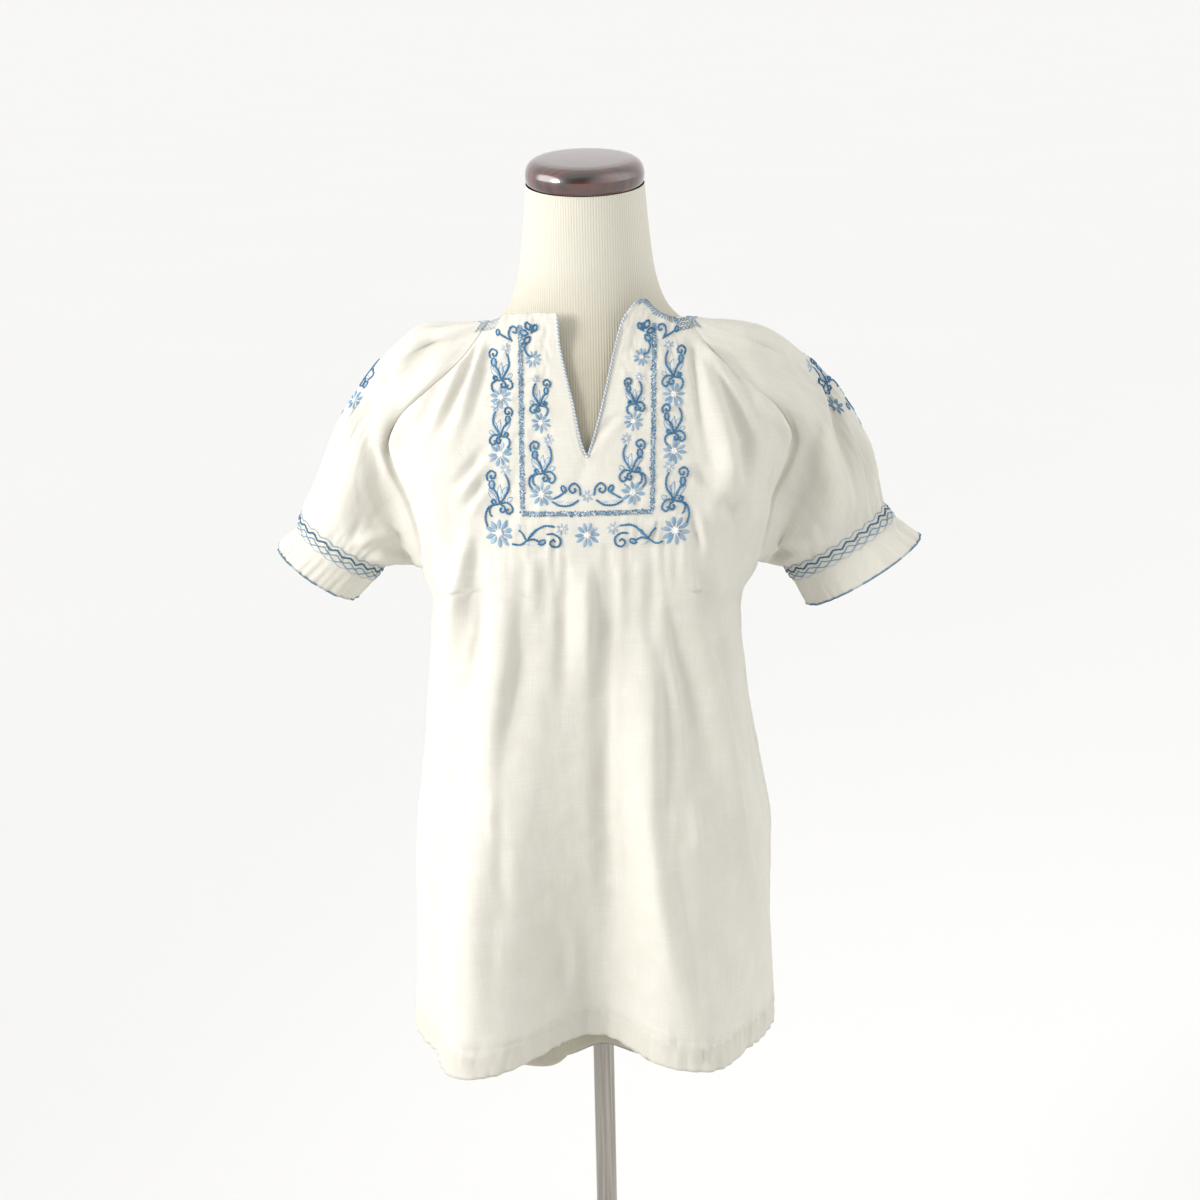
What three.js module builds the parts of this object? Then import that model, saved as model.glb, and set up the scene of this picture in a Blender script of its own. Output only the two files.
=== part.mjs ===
// Embroidered folk blouse on a limbless dress form, in millimetres, +Z up.
// The origin is on the floor under the pole. The front faces -Y, and left means -X.
import * as THREE from 'three';

// ---------------------------------------------------------------- driving sizes
const WALL = 1.5;                // cloth wall
const SEAM_GAP = 0.45;           // space between two sewn pieces
const HEM_Z = 595;               // lowest edge of the body panels
const UNDERARM_Z = 1084;         // where side seam and raglan seams meet
const SLIT_FOOT_Z = 1215;        // lower end of the throat slit
const BUST_Z = 1131;             // folds of the skirt part start here
const BODY_POWER = 2.3;          // squareness of the blouse's sections
const FOLD_GROWTH = 1.7;         // how late the folds deepen on their way down
const NECK_SEAM_Z = 1336;        // neckline height at the front raglan seams
const NECK_BACK_SEAM_Z = 1310;   // neckline height at the back raglan seams
const NECK_BACK_Z = 1338;        // neckline height at the nape
const NECK_LEFT_LIFT = 7;        // rise of the neckline from the front seams to the slit
const NECK_RIGHT_LIFT = 19;
const NECK_EDGE_BOW = 12;        // how far the sleeve's neck edge bows outward
const SLIT_TOP_Z = 1342;         // where the slit's lips reach the widths below
const SLIT_LEFT_REACH = 30;
const SLIT_RIGHT_REACH = 45;
const HEM_RISE = 15;             // lift of the hem in its deepest fold
const HEM_RISE_ANGLE = -1;       // degrees from the front
const HEM_RISE_SPREAD = 40;

const CLEFT_WIDTH = 30;          // half width of the groove between the thigh stubs
const CLEFT_RISE = 60;           // how far the form's underside rises along that groove
const FORM_BOTTOM_Z = 563;
const FORM_SIDES = 40;
const FORM_TALLEST_ROW = 45;     // longer stretches of the form's side get a ring halfway

const POLE_RADIUS = 11;
const POLE_TOP_Z = 700;
const POLE_FOOT_Z = 9;
const SOCKET_GAP = 0.35;
const BASE_RADIUS = 155;
const CAP_TILT = THREE.MathUtils.degToRad(8);
const CAP_FORWARD = 3;           // the cap's centre stands this far in front of the pole
const CAP_GAP = 0.3;
const NECK_TOP_Z = 1456;
const ROUND_SIDES = 32;

// The blouse without its folds: half width, depth in front of and behind the pole, sideways shift.
const BODY = [
  { z: 595, side: 185, front: 150, back: 148, shift: -8 },
  { z: 643, side: 184, front: 146, back: 147, shift: -7 },
  { z: 737, side: 181, front: 140, back: 143, shift: -7 },
  { z: 812, side: 177, front: 135, back: 135, shift: -5 },
  { z: 881, side: 166, front: 131, back: 123, shift: -6 },
  { z: 945, side: 159, front: 129, back: 114, shift: -8 },
  { z: 1020, side: 154, front: 131, back: 110, shift: -8 },
  { z: 1060, side: 155, front: 133, back: 109, shift: -6 },
  { z: 1084, side: 166, front: 134, back: 109, shift: -3 },
  { z: 1124, side: 172, front: 135, back: 109, shift: 0 },
  { z: 1159, side: 180, front: 131, back: 109, shift: 0 },
  { z: 1201, side: 196, front: 119, back: 107, shift: 0 },
  { z: 1235, side: 203, front: 110, back: 104, shift: 0 },
  { z: 1273, side: 190, front: 99, back: 99, shift: 0 },
  { z: 1308, side: 157, front: 87, back: 90, shift: 0 },
  { z: 1336, side: 130, front: 78, back: 80, shift: 0 },
  { z: 1354, side: 122, front: 72, back: 76, shift: 0 },
];

// How far the raglan seams stand from the middle at each height, and the angle around the sleeve,
// from its top, where the cloth that starts there leads.
const RAGLAN = [
  { z: 1084, reach: 166, around: 180 },
  { z: 1102, reach: 162, around: 150 },
  { z: 1124, reach: 163, around: 132 },
  { z: 1159, reach: 171, around: 110 },
  { z: 1201, reach: 188, around: 84 },
  { z: 1222, reach: 192, around: 70 },
  { z: 1248, reach: 178, around: 54 },
  { z: 1273, reach: 151, around: 42 },
  { z: 1291, reach: 130, around: 35 },
  { z: 1308, reach: 113, around: 30 },
  { z: 1336, reach: 92, around: 22 },
];

// Folds of the skirt part. Angles are from the front, positive to +X; heights are outward.
// A fold spreads before degrees to the -X side of its crest and after degrees to the other.
const FOLDS = [
  { top: -28, hem: -38, before: 22, after: 22, topHeight: 4, hemHeight: 29 },
  { top: -42, hem: -82, before: 16, after: 16, topHeight: 5, hemHeight: 2 },
  { top: 4, hem: 0, before: 28, after: 20, topHeight: -2, hemHeight: -66 },
  { top: 22, hem: 32, before: 20, after: 24, topHeight: 3, hemHeight: 16 },
  { top: 34, hem: 84, before: 18, after: 13, topHeight: 6, hemHeight: 1 },
  { top: 112, hem: 116, before: 18, after: 18, topHeight: 2, hemHeight: 13 },
  { top: 140, hem: 138, before: 18, after: 18, topHeight: 4, hemHeight: -11 },
  { top: 160, hem: 163, before: 18, after: 18, topHeight: 2, hemHeight: 16 },
  { top: -178, hem: -174, before: 15, after: 15, topHeight: 3, hemHeight: -12 },
  { top: -152, hem: -155, before: 17, after: 17, topHeight: 4, hemHeight: 14 },
  { top: -124, hem: -127, before: 20, after: 20, topHeight: 3, hemHeight: -9 },
];

// Fullness over the chest and shoulder blades, each a soft mound around one place.
const MOUNDS = [
  { angle: 45, z: 1190, spread: 24, drop: 90, height: 8 },
  { angle: -45, z: 1195, spread: 26, drop: 95, height: 9 },
  { angle: 140, z: 1190, spread: 26, drop: 100, height: 7 },
  { angle: -138, z: 1185, spread: 26, drop: 100, height: 8 },
];

// Folds of the sleeves, running from the seam to the smocked band. Angles are from the sleeve's top,
// positive to the front; share is where along the way each is deepest.
const SLEEVE_FOLDS = [
  { around: 4, spread: 24, share: 0.6, height: 4 },
  { around: 38, spread: 20, share: 0.5, height: -4 },
  { around: 66, spread: 22, share: 0.6, height: 4.5 },
  { around: 100, spread: 22, share: 0.5, height: -3.5 },
  { around: 134, spread: 22, share: 0.7, height: 4 },
  { around: -34, spread: 22, share: 0.5, height: -3.5 },
  { around: -68, spread: 24, share: 0.6, height: 4 },
  { around: -104, spread: 22, share: 0.5, height: -3.5 },
  { around: -138, spread: 22, share: 0.7, height: 3.5 },
];

// Heights of the grid rows, the same on all pieces that share a seam.
const SKIRT_LEVELS = [595, 628, 666, 703, 740, 777, 814, 851, 888, 925, 962, 999, 1033, 1062, 1084];
const CHEST_LEVELS = [1084, 1102, 1124, 1148, 1172, 1195, 1215, 1235, 1254, 1273, 1291, 1308, 1323, 1336];
const HALF_FRONT_COLUMNS = 13;
const BACK_COLUMNS = 22;
const NECK_EDGE_STEPS = 5;
const SLEEVE_ROWS = 9;           // from the seam to the smocked band
const FRILL_ROWS = 2;
const BAND_START = 3;            // the section where the smocked band starts
const SHOULDER_ARCH = 0.13;      // rise of the sleeve over the shoulder, for each mm of its way

// Sleeve sections beyond the seam: top (outer) and underarm (inner) points, and the depth each way.
const SLEEVES = {
  sleeve_left: {
    side: -1,
    sections: [
      { outerX: 221, outerZ: 1263, innerX: 180, innerZ: 1086, front: 40, back: 44 },
      { outerX: 241, outerZ: 1232, innerX: 188, innerZ: 1086, front: 46, back: 48 },
      { outerX: 265, outerZ: 1184, innerX: 197, innerZ: 1087, front: 50, back: 48 },
      { outerX: 286, outerZ: 1142, innerX: 206, innerZ: 1087, front: 41, back: 41 },
      { outerX: 291, outerZ: 1125, innerX: 217, innerZ: 1072, front: 40, back: 40 },
      { outerX: 312, outerZ: 1107, innerX: 237, innerZ: 1053, front: 45, back: 45 },
    ],
  },
  sleeve_right: {
    side: 1,
    sections: [
      { outerX: 232, outerZ: 1262, innerX: 174, innerZ: 1080, front: 39, back: 44 },
      { outerX: 252, outerZ: 1233, innerX: 179, innerZ: 1079, front: 43, back: 47 },
      { outerX: 276, outerZ: 1188, innerX: 184, innerZ: 1078, front: 46, back: 46 },
      { outerX: 287, outerZ: 1138, innerX: 189, innerZ: 1077, front: 38, back: 37 },
      { outerX: 301, outerZ: 1122, innerX: 201, innerZ: 1059, front: 37, back: 36 },
      { outerX: 325, outerZ: 1103, innerX: 214, innerZ: 1036, front: 43, back: 41 },
    ],
  },
};

// Dress form: half width, depths, squareness, depth of the groove between the stubs, forward tilt.
const FORM = [
  { z: 571, side: 139, front: 84, back: 84, power: 2.2, cleft: 34, tilt: 0 },
  { z: 600, side: 150, front: 94, back: 95, power: 2.2, cleft: 32, tilt: 0 },
  { z: 660, side: 157, front: 99, back: 108, power: 2.2, cleft: 22, tilt: 0 },
  { z: 740, side: 160, front: 101, back: 122, power: 2.2, cleft: 4, tilt: 0 },
  { z: 800, side: 153, front: 99, back: 116, power: 2.2, cleft: 0, tilt: 0 },
  { z: 880, side: 134, front: 92, back: 98, power: 2.1, cleft: 0, tilt: 0 },
  { z: 945, side: 121, front: 90, back: 82, power: 2.1, cleft: 0, tilt: 0 },
  { z: 1020, side: 135, front: 105, back: 86, power: 2.1, cleft: 0, tilt: 0 },
  { z: 1084, side: 151, front: 121, back: 93, power: 2.2, cleft: 0, tilt: 0 },
  { z: 1130, side: 158, front: 128.8, back: 98, power: 2.3, cleft: 0, tilt: 0 },
  { z: 1180, side: 169, front: 120, back: 100, power: 2.3, cleft: 0, tilt: 0 },
  { z: 1235, side: 184, front: 105, back: 97, power: 2.1, cleft: 0, tilt: 0 },
  { z: 1265, side: 187, front: 96, back: 92, power: 1.9, cleft: 0, tilt: 0 },
  { z: 1288, side: 178, front: 89, back: 87, power: 1.7, cleft: 0, tilt: 0 },
  { z: 1303.2, side: 158, front: 83, back: 83, power: 1.7, cleft: 0, tilt: 0 },
  { z: 1311.7, side: 132, front: 79, back: 79, power: 1.7, cleft: 0, tilt: 0 },
  { z: 1317.8, side: 108, front: 75, back: 76, power: 1.9, cleft: 0, tilt: 0 },
  { z: 1323.5, side: 93, front: 71, back: 73, power: 2, cleft: 0, tilt: 0.05 },
  { z: 1340, side: 77, front: 65, back: 69, power: 2, cleft: 0, tilt: 0.2 },
  { z: 1366, side: 67, front: 60, back: 64, power: 2, cleft: 0, tilt: 0.5 },
  { z: 1401, side: 61.5, front: 59, back: 59, power: 2, cleft: 0, tilt: 0.8 },
  { z: NECK_TOP_Z, side: 56.5, front: 57, back: 53, power: 2, cleft: 0, tilt: 1 },
];

// ---------------------------------------------------------------- small helpers
const { degToRad, radToDeg, lerp, clamp, smoothstep } = THREE.MathUtils;
const vector = (x, y, z) => new THREE.Vector3(x, y, z);

// Reads every column of a table at one height, by cubic curves through the rows.
function rowAt(table, z) {
  const last = table.length - 1;
  const height = clamp(z, table[0].z, table[last].z);
  let index = 0;
  while (index < last - 1 && table[index + 1].z < height) index += 1;
  const [low, high] = [table[index], table[index + 1]];
  const step = high.z - low.z;
  const t = (height - low.z) / step;
  const slope = (key, at) => {
    const before = table[Math.max(at - 1, 0)];
    const after = table[Math.min(at + 1, last)];
    return (after[key] - before[key]) / (after.z - before.z);
  };
  const row = {};
  for (const key of Object.keys(low)) {
    const rise = 3 * t ** 2 - 2 * t ** 3;
    const leaving = (t ** 3 - 2 * t ** 2 + t) * step * slope(key, index);
    const arriving = (t ** 3 - t ** 2) * step * slope(key, index + 1);
    row[key] = lerp(low[key], high[key], rise) + leaving + arriving;
  }
  return row;
}

// Soft bump: 1 at the middle, 0 at one spread away.
const bump = (distance) => (Math.abs(distance) < 1 ? 0.5 + 0.5 * Math.cos(Math.PI * distance) : 0);

// Signed difference of two angles in degrees, at most half a turn.
const turn = (angle, middle) => ((((angle - middle) % 360) + 540) % 360) - 180;

// ---------------------------------------------------------------- blouse body surface
function foldHeight(degrees, z) {
  const fall = clamp((BUST_Z - z) / (BUST_Z - HEM_Z), 0, 1);
  const fade = 1 - smoothstep(z, BUST_Z - 40, BUST_Z + 60);   // no skirt folds above the bust
  let height = 0;
  for (const fold of FOLDS) {
    const middle = lerp(fold.top, fold.hem, fall);
    const size = lerp(fold.topHeight, fold.hemHeight, fall ** FOLD_GROWTH);
    const offset = turn(degrees, middle);
    height += fade * size * bump(offset / (offset < 0 ? fold.before : fold.after));
  }
  for (const mound of MOUNDS) {
    const around = bump(turn(degrees, mound.angle) / mound.spread);
    height += mound.height * around * bump((z - mound.z) / mound.drop);
  }
  return height;
}

// A point on the outside of the blouse's body; the angle is in radians from the front.
function bodyPoint(angle, z) {
  const row = rowAt(BODY, z);
  const across = Math.sin(angle);
  const along = Math.cos(angle);
  const depth = along >= 0 ? row.front : row.back;
  const shape = 2 / BODY_POWER;
  const x = row.side * Math.sign(across) * Math.abs(across) ** shape;
  const y = -depth * Math.sign(along) * Math.abs(along) ** shape;
  const lean = 2 - shape;
  const outward = vector(
    (Math.sign(across) * Math.abs(across) ** lean) / row.side,
    (-Math.sign(along) * Math.abs(along) ** lean) / depth,
    0,
  ).normalize();
  return vector(row.shift + x, y, z).addScaledVector(outward, foldHeight(radToDeg(angle), z));
}

function bodyNormal(angle, z) {
  const around = bodyPoint(angle + 0.02, z).sub(bodyPoint(angle - 0.02, z));
  const upward = bodyPoint(angle, z + 2).sub(bodyPoint(angle, z - 2));
  return around.cross(upward).normalize();
}

// The angle of a place that stands this far from the middle of the body's section.
function angleAtReach(reach, z) {
  const ratio = clamp(reach / rowAt(BODY, z).side, -1, 1);
  return Math.sign(ratio) * Math.asin(Math.abs(ratio) ** (BODY_POWER / 2));
}


// ---------------------------------------------------------------- cloth walls
function surfaceNormals(points, quads) {
  const normals = points.map(() => vector(0, 0, 0));
  for (const quad of quads) {
    const [a, b, c, d] = quad.map((index) => points[index]);
    const facing = c.clone().sub(a).cross(d.clone().sub(b));
    quad.forEach((index) => normals[index].add(facing));
  }
  return normals.map((normal) => normal.normalize());
}

// Turns a surface of quads into a closed wall: the surface, its copy moved inward, and the rims.
// fixed holds the normals of seam points, so that both pieces at a seam have matching rims.
function thicken(points, quads, fixed) {
  const normals = surfaceNormals(points, quads);
  fixed.forEach((normal, index) => normals[index].copy(normal));
  const count = points.length;
  const inner = points.map((point, index) => point.clone().addScaledVector(normals[index], -WALL));
  const triangles = [];
  const edges = new Map();
  for (const [a, b, c, d] of quads) {
    const shortFirst = points[a].distanceTo(points[c]) <= points[b].distanceTo(points[d]);
    const halves = shortFirst ? [[a, b, c], [a, c, d]] : [[a, b, d], [b, c, d]];
    for (const [p, q, r] of halves) {
      triangles.push(p, q, r, count + p, count + r, count + q);
    }
    for (const [from, to] of [[a, b], [b, c], [c, d], [d, a]]) {
      if (!edges.delete(`${to},${from}`)) edges.set(`${from},${to}`, [from, to]);
    }
  }
  for (const [from, to] of edges.values()) {
    triangles.push(from, count + from, count + to, from, count + to, to);
  }
  return solidFrom([...points, ...inner], triangles);
}

function solidFrom(points, triangles) {
  const geometry = new THREE.BufferGeometry();
  const places = points.flatMap((point) => point.toArray());
  geometry.setAttribute('position', new THREE.Float32BufferAttribute(places, 3));
  geometry.setIndex(triangles);
  geometry.computeVertexNormals();
  return geometry;
}

// ---------------------------------------------------------------- grid rows
const LEVELS = [...SKIRT_LEVELS, ...CHEST_LEVELS.slice(1)];
const TOP_LEVEL = LEVELS.length - 1;
const SLIT_LEVEL = LEVELS.indexOf(SLIT_FOOT_Z);
const UNDERARM_LEVEL = LEVELS.indexOf(UNDERARM_Z);

// Height of a seam point. Behind, the rows above the slit's foot are squeezed under a lower neckline.
function seamHeight(level, isBack) {
  const z = LEVELS[level];
  if (!isBack || z <= SLIT_FOOT_Z) return z;
  const share = (z - SLIT_FOOT_Z) / (NECK_SEAM_Z - SLIT_FOOT_Z);
  return lerp(SLIT_FOOT_Z, NECK_BACK_SEAM_Z, share);
}

// Half the angle that a panel spans on a row: to the side seam, or to the raglan seam above it.
function panelHalfAngle(level, isBack) {
  if (level <= UNDERARM_LEVEL) return Math.PI / 2;
  return angleAtReach(rowAt(RAGLAN, LEVELS[level]).reach, seamHeight(level, isBack));
}

// The angle of a panel's edge on a row, in radians from the front.
function edgeAngle(level, side, isBack) {
  const half = panelHalfAngle(level, isBack);
  return side * (isBack ? Math.PI - half : half);
}

// ---------------------------------------------------------------- seams between body and sleeves
// A point on a sleeve section: angle 0 is the top, a quarter turn is the front.
function sleeveSectionPoint(section, side, angle) {
  const outer = vector(side * section.outerX, 0, section.outerZ);
  const inner = vector(side * section.innerX, 0, section.innerZ);
  const middle = outer.clone().add(inner).multiplyScalar(0.5);
  const up = outer.sub(middle);
  const depth = Math.sin(angle) >= 0 ? section.front : section.back;
  return middle.addScaledVector(up, Math.cos(angle)).add(vector(0, -depth * Math.sin(angle), 0));
}

// The sleeve's upper rim before the seam gap: up the front seam from the underarm, over the
// shoulder along the neckline and down the back seam. Each entry knows its place on the sections.
function sleeveRim(side, sections) {
  const seamPoint = (level, isBack) => {
    const around = rowAt(RAGLAN, LEVELS[level]).around * (isBack ? -1 : 1);
    const point = bodyPoint(edgeAngle(level, side, isBack), seamHeight(level, isBack));
    return { level, isBack, around, point };
  };
  const seam = (isBack) => LEVELS.map((_, level) => seamPoint(level, isBack)).slice(UNDERARM_LEVEL);
  const [front, back] = [seam(false), seam(true)];
  const [frontTop, backTop] = [front[front.length - 1], back[back.length - 1]];
  const shoulder = [];
  for (let step = 1; step < NECK_EDGE_STEPS; step += 1) {
    const share = step / NECK_EDGE_STEPS;
    const bow = 4 * NECK_EDGE_BOW * share * (1 - share);
    const point = frontTop.point.clone().lerp(backTop.point, share).add(vector(side * bow, 0, 0));
    shoulder.push({ point, around: lerp(frontTop.around, backTop.around, share) });
  }
  const rim = [...front, ...shoulder, ...back.slice(1).reverse()];
  rim.forEach((entry, index) => {
    entry.stations = sections.map((section) => sleeveSectionPoint(section, side, degToRad(entry.around)));
    const isCorner = entry === frontTop || entry === backTop;
    const before = rim[isCorner && entry.isBack ? index : (index + rim.length - 1) % rim.length].point;
    const after = rim[isCorner && !entry.isBack ? index : (index + 1) % rim.length].point;
    const along = after.clone().sub(before);
    const away = entry.stations[0].clone().sub(entry.point).normalize();
    const sleeveNormal = away.clone().cross(along).multiplyScalar(side).normalize();
    const panelNormal = sleeveNormal.clone();
    if (entry.level !== undefined) {
      const z = seamHeight(entry.level, entry.isBack);
      panelNormal.copy(bodyNormal(edgeAngle(entry.level, side, entry.isBack), z));
    }
    entry.normal = sleeveNormal.add(panelNormal).normalize();
    entry.across = along.clone().cross(entry.normal).normalize();
    if (entry.across.dot(away) < 0) entry.across.negate();
  });
  return rim;
}

// Rims of both sleeves, and their seam points by level for the panels.
function seamsOf(side, sections) {
  const rim = sleeveRim(side, sections);
  const seams = { rim, underarm: rim[0], front: {}, back: {} };
  for (const entry of rim) {
    if (entry.level !== undefined) seams[entry.isBack ? 'back' : 'front'][entry.level] = entry;
  }
  return seams;
}

const RIMS = {};
for (const { side, sections } of Object.values(SLEEVES)) RIMS[side] = seamsOf(side, sections);

// ---------------------------------------------------------------- body panels
// The hem rises where the cloth falls back into a deep fold.
const hemRise = (degrees) => HEM_RISE * bump(turn(degrees, HEM_RISE_ANGLE) / HEM_RISE_SPREAD);

// Height of the neckline around the body; it is level at the seams.
function neckline(degrees) {
  const isBack = Math.abs(degrees) > 90;
  const seamAngle = radToDeg(panelHalfAngle(TOP_LEVEL, isBack));
  const fromMiddle = Math.min(Math.abs(turn(degrees, isBack ? 180 : 0)) / seamAngle, 1);
  if (isBack) return lerp(NECK_BACK_Z, NECK_BACK_SEAM_Z, fromMiddle);
  const lift = degrees > 0 ? NECK_RIGHT_LIFT : NECK_LEFT_LIFT;
  return NECK_SEAM_Z + lift * (1 - fromMiddle);
}

// Height of a grid point: the row's level, eased to the hem below and to the neckline above.
function gridHeight(level, degrees) {
  const z = LEVELS[level];
  if (z <= UNDERARM_Z) return z + hemRise(degrees) * ((UNDERARM_Z - z) / (UNDERARM_Z - HEM_Z));
  if (z <= SLIT_FOOT_Z) return z;
  const share = (z - SLIT_FOOT_Z) / (LEVELS[TOP_LEVEL] - SLIT_FOOT_Z);
  return lerp(SLIT_FOOT_Z, neckline(degrees), share);
}

// Half width of the open slit on each side at a height.
function slitReach(z, side) {
  const open = clamp((z - SLIT_FOOT_Z) / (SLIT_TOP_Z - SLIT_FOOT_Z), 0, 1.1);
  return side < 0 ? SLIT_LEFT_REACH * open ** 0.8 : SLIT_RIGHT_REACH * open;
}

// A point on the left or right edge of a body panel, with its seam normal, moved off the seam.
function panelEdgePoint(level, side, isBack) {
  const backward = vector(0, isBack ? 1 : -1, 0);
  if (level > UNDERARM_LEVEL) {
    const { point, normal, across } = RIMS[side][isBack ? 'back' : 'front'][level];
    return { point: point.clone().addScaledVector(across, -SEAM_GAP / 2), normal };
  }
  const z = LEVELS[level];
  const angle = edgeAngle(level, side, isBack);
  const point = bodyPoint(angle, z).addScaledVector(backward, SEAM_GAP / 2);
  const normal = level === UNDERARM_LEVEL ? RIMS[side].underarm.normal : bodyNormal(angle, z);
  return { point, normal };
}

// Builds a stretch of a panel between two columns of angles, adding to shared points.
function addPanelPart(surface, columns, angleAt, isBack, shared) {
  const grid = LEVELS.map((_, level) => {
    const row = [];
    for (let column = 0; column <= columns; column += 1) {
      const known = shared(level, column);
      if (known !== undefined) {
        row.push(known);
        continue;
      }
      const { angle, seamSide } = angleAt(level, column / columns);
      if (seamSide) {
        const edge = panelEdgePoint(level, seamSide, isBack);
        surface.fixed.set(surface.points.length, edge.normal);
        row.push(surface.points.push(edge.point) - 1);
      } else {
        const z = gridHeight(level, radToDeg(angle));
        row.push(surface.points.push(bodyPoint(angle, z)) - 1);
      }
    }
    return row;
  });
  for (let level = 0; level < TOP_LEVEL; level += 1) {
    for (let column = 0; column < columns; column += 1) {
      const [low, high] = [grid[level], grid[level + 1]];
      surface.quads.push([low[column], low[column + 1], high[column + 1], high[column]]);
    }
  }
  return grid;
}

function blouseFront() {
  const surface = { points: [], quads: [], fixed: new Map() };
  const halfAngle = (side) => (level, share) => {
    const z = LEVELS[level];
    const outer = panelHalfAngle(level, false);
    const inner = angleAtReach(slitReach(z, side), z);
    const part = side < 0 ? 1 - share : share;
    return { angle: side * lerp(inner, outer, part), seamSide: part === 1 ? side : 0 };
  };
  const none = () => undefined;
  const left = addPanelPart(surface, HALF_FRONT_COLUMNS, halfAngle(-1), false, none);
  const middle = (level, column) => (
    column === 0 && level <= SLIT_LEVEL ? left[level][HALF_FRONT_COLUMNS] : undefined
  );
  addPanelPart(surface, HALF_FRONT_COLUMNS, halfAngle(1), false, middle);
  return thicken(surface.points, surface.quads, surface.fixed);
}

function blouseBack() {
  const surface = { points: [], quads: [], fixed: new Map() };
  const span = (level, share) => {
    const half = panelHalfAngle(level, true);
    const seamSide = (share === 0 ? 1 : 0) - (share === 1 ? 1 : 0);
    return { angle: Math.PI - lerp(half, -half, share), seamSide };
  };
  addPanelPart(surface, BACK_COLUMNS, span, true, () => undefined);
  return thicken(surface.points, surface.quads, surface.fixed);
}

// ---------------------------------------------------------------- sleeves
function sleeveFoldHeight(around, share) {
  let height = 0;
  for (const fold of SLEEVE_FOLDS) {
    const along = bump((share - fold.share) / (share < fold.share ? fold.share : 1 - fold.share));
    height += fold.height * bump(turn(around, fold.around) / fold.spread) * along;
  }
  return height;
}

function sleeve(side) {
  const { rim } = RIMS[side];
  const points = [];
  const heights = [];
  const fixed = new Map();
  const grid = rim.map((entry, index) => {
    const gap = index === 0 ? SEAM_GAP : SEAM_GAP / 2;
    const start = entry.point.clone().addScaledVector(entry.across, gap);
    const arch = start.clone().lerp(entry.stations[0], 0.5);
    const rise = SHOULDER_ARCH * start.distanceTo(entry.stations[0]);
    arch.addScaledVector(entry.normal, rise * Math.sqrt(Math.max(0, Math.cos(degToRad(entry.around)))));
    const upper = [start, arch, ...entry.stations.slice(0, BAND_START + 1)];
    const path = new THREE.CatmullRomCurve3(upper, false, 'centripetal');
    const places = path.getSpacedPoints(SLEEVE_ROWS);
    const [bandEnd, frillEdge] = entry.stations.slice(BAND_START + 1);
    for (let row = 0; row <= FRILL_ROWS; row += 1) {
      places.push(bandEnd.clone().lerp(frillEdge, row / FRILL_ROWS));
    }
    places.forEach((_, row) => {
      heights.push(sleeveFoldHeight(entry.around, Math.min(row / SLEEVE_ROWS, 1)));
    });
    fixed.set(points.length, entry.normal);
    return places.map((place) => points.push(place) - 1);
  });
  const quads = [];
  for (let index = 0; index < rim.length; index += 1) {
    const next = grid[(index + 1) % rim.length];
    for (let row = 0; row < next.length - 1; row += 1) {
      const quad = [grid[index][row], grid[index][row + 1], next[row + 1], next[row]];
      quads.push(side > 0 ? quad : quad.reverse());
    }
  }
  const normals = surfaceNormals(points, quads);
  points.forEach((point, index) => point.addScaledVector(normals[index], heights[index]));
  return thicken(points, quads, fixed);
}

// ---------------------------------------------------------------- dress form and stand
function formPoint(row, angle) {
  const across = Math.sin(angle);
  const along = Math.cos(angle);
  const depth = along >= 0 ? row.front : row.back;
  const shape = 2 / row.power;
  const x = row.side * Math.sign(across) * Math.abs(across) ** shape;
  const groove = row.cleft * Math.exp(-((x / CLEFT_WIDTH) ** 2));
  const y = -(depth - groove) * Math.sign(along) * Math.abs(along) ** shape;
  return vector(x, y, row.z + row.tilt * Math.tan(CAP_TILT) * y);
}

// The form as rings: up the walls of the pole's socket, out along the underside, up the outside.
function dressForm() {
  const turns = Array.from({ length: FORM_SIDES }, (_, index) => (2 * Math.PI * index) / FORM_SIDES);
  const grooveRise = (x) => CLEFT_RISE * Math.exp(-((x / CLEFT_WIDTH) ** 2));
  const socketRing = (z) => turns.map((angle) => {
    const radius = POLE_RADIUS + SOCKET_GAP;
    return vector(radius * Math.sin(angle), -radius * Math.cos(angle), z);
  });
  const undersideRing = ({ share, lift }) => turns.map((angle) => {
    const rim = formPoint(FORM[0], angle);
    const x = rim.x * share;
    return vector(x, rim.y * share, FORM_BOTTOM_Z + lift + grooveRise(x));
  });
  const outsideRing = (z) => turns.map((angle) => {
    const point = formPoint(rowAt(FORM, z), angle);
    if (z === FORM[0].z) point.z += 0.8 * grooveRise(point.x);
    return point;
  });
  const heights = [];
  FORM.forEach((row, index) => {
    heights.push(row.z);
    const next = FORM[index + 1];
    if (next && next.z - row.z > FORM_TALLEST_ROW) heights.push((row.z + next.z) / 2);
  });
  return closedRings([
    socketRing(POLE_TOP_Z + 1),
    socketRing(FORM_BOTTOM_Z + 1 + CLEFT_RISE),
    ...[{ share: 0.35, lift: 0 }, { share: 0.65, lift: 0 }, { share: 0.9, lift: 2 }].map(undersideRing),
    ...heights.map(outsideRing),
  ]);
}

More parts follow.
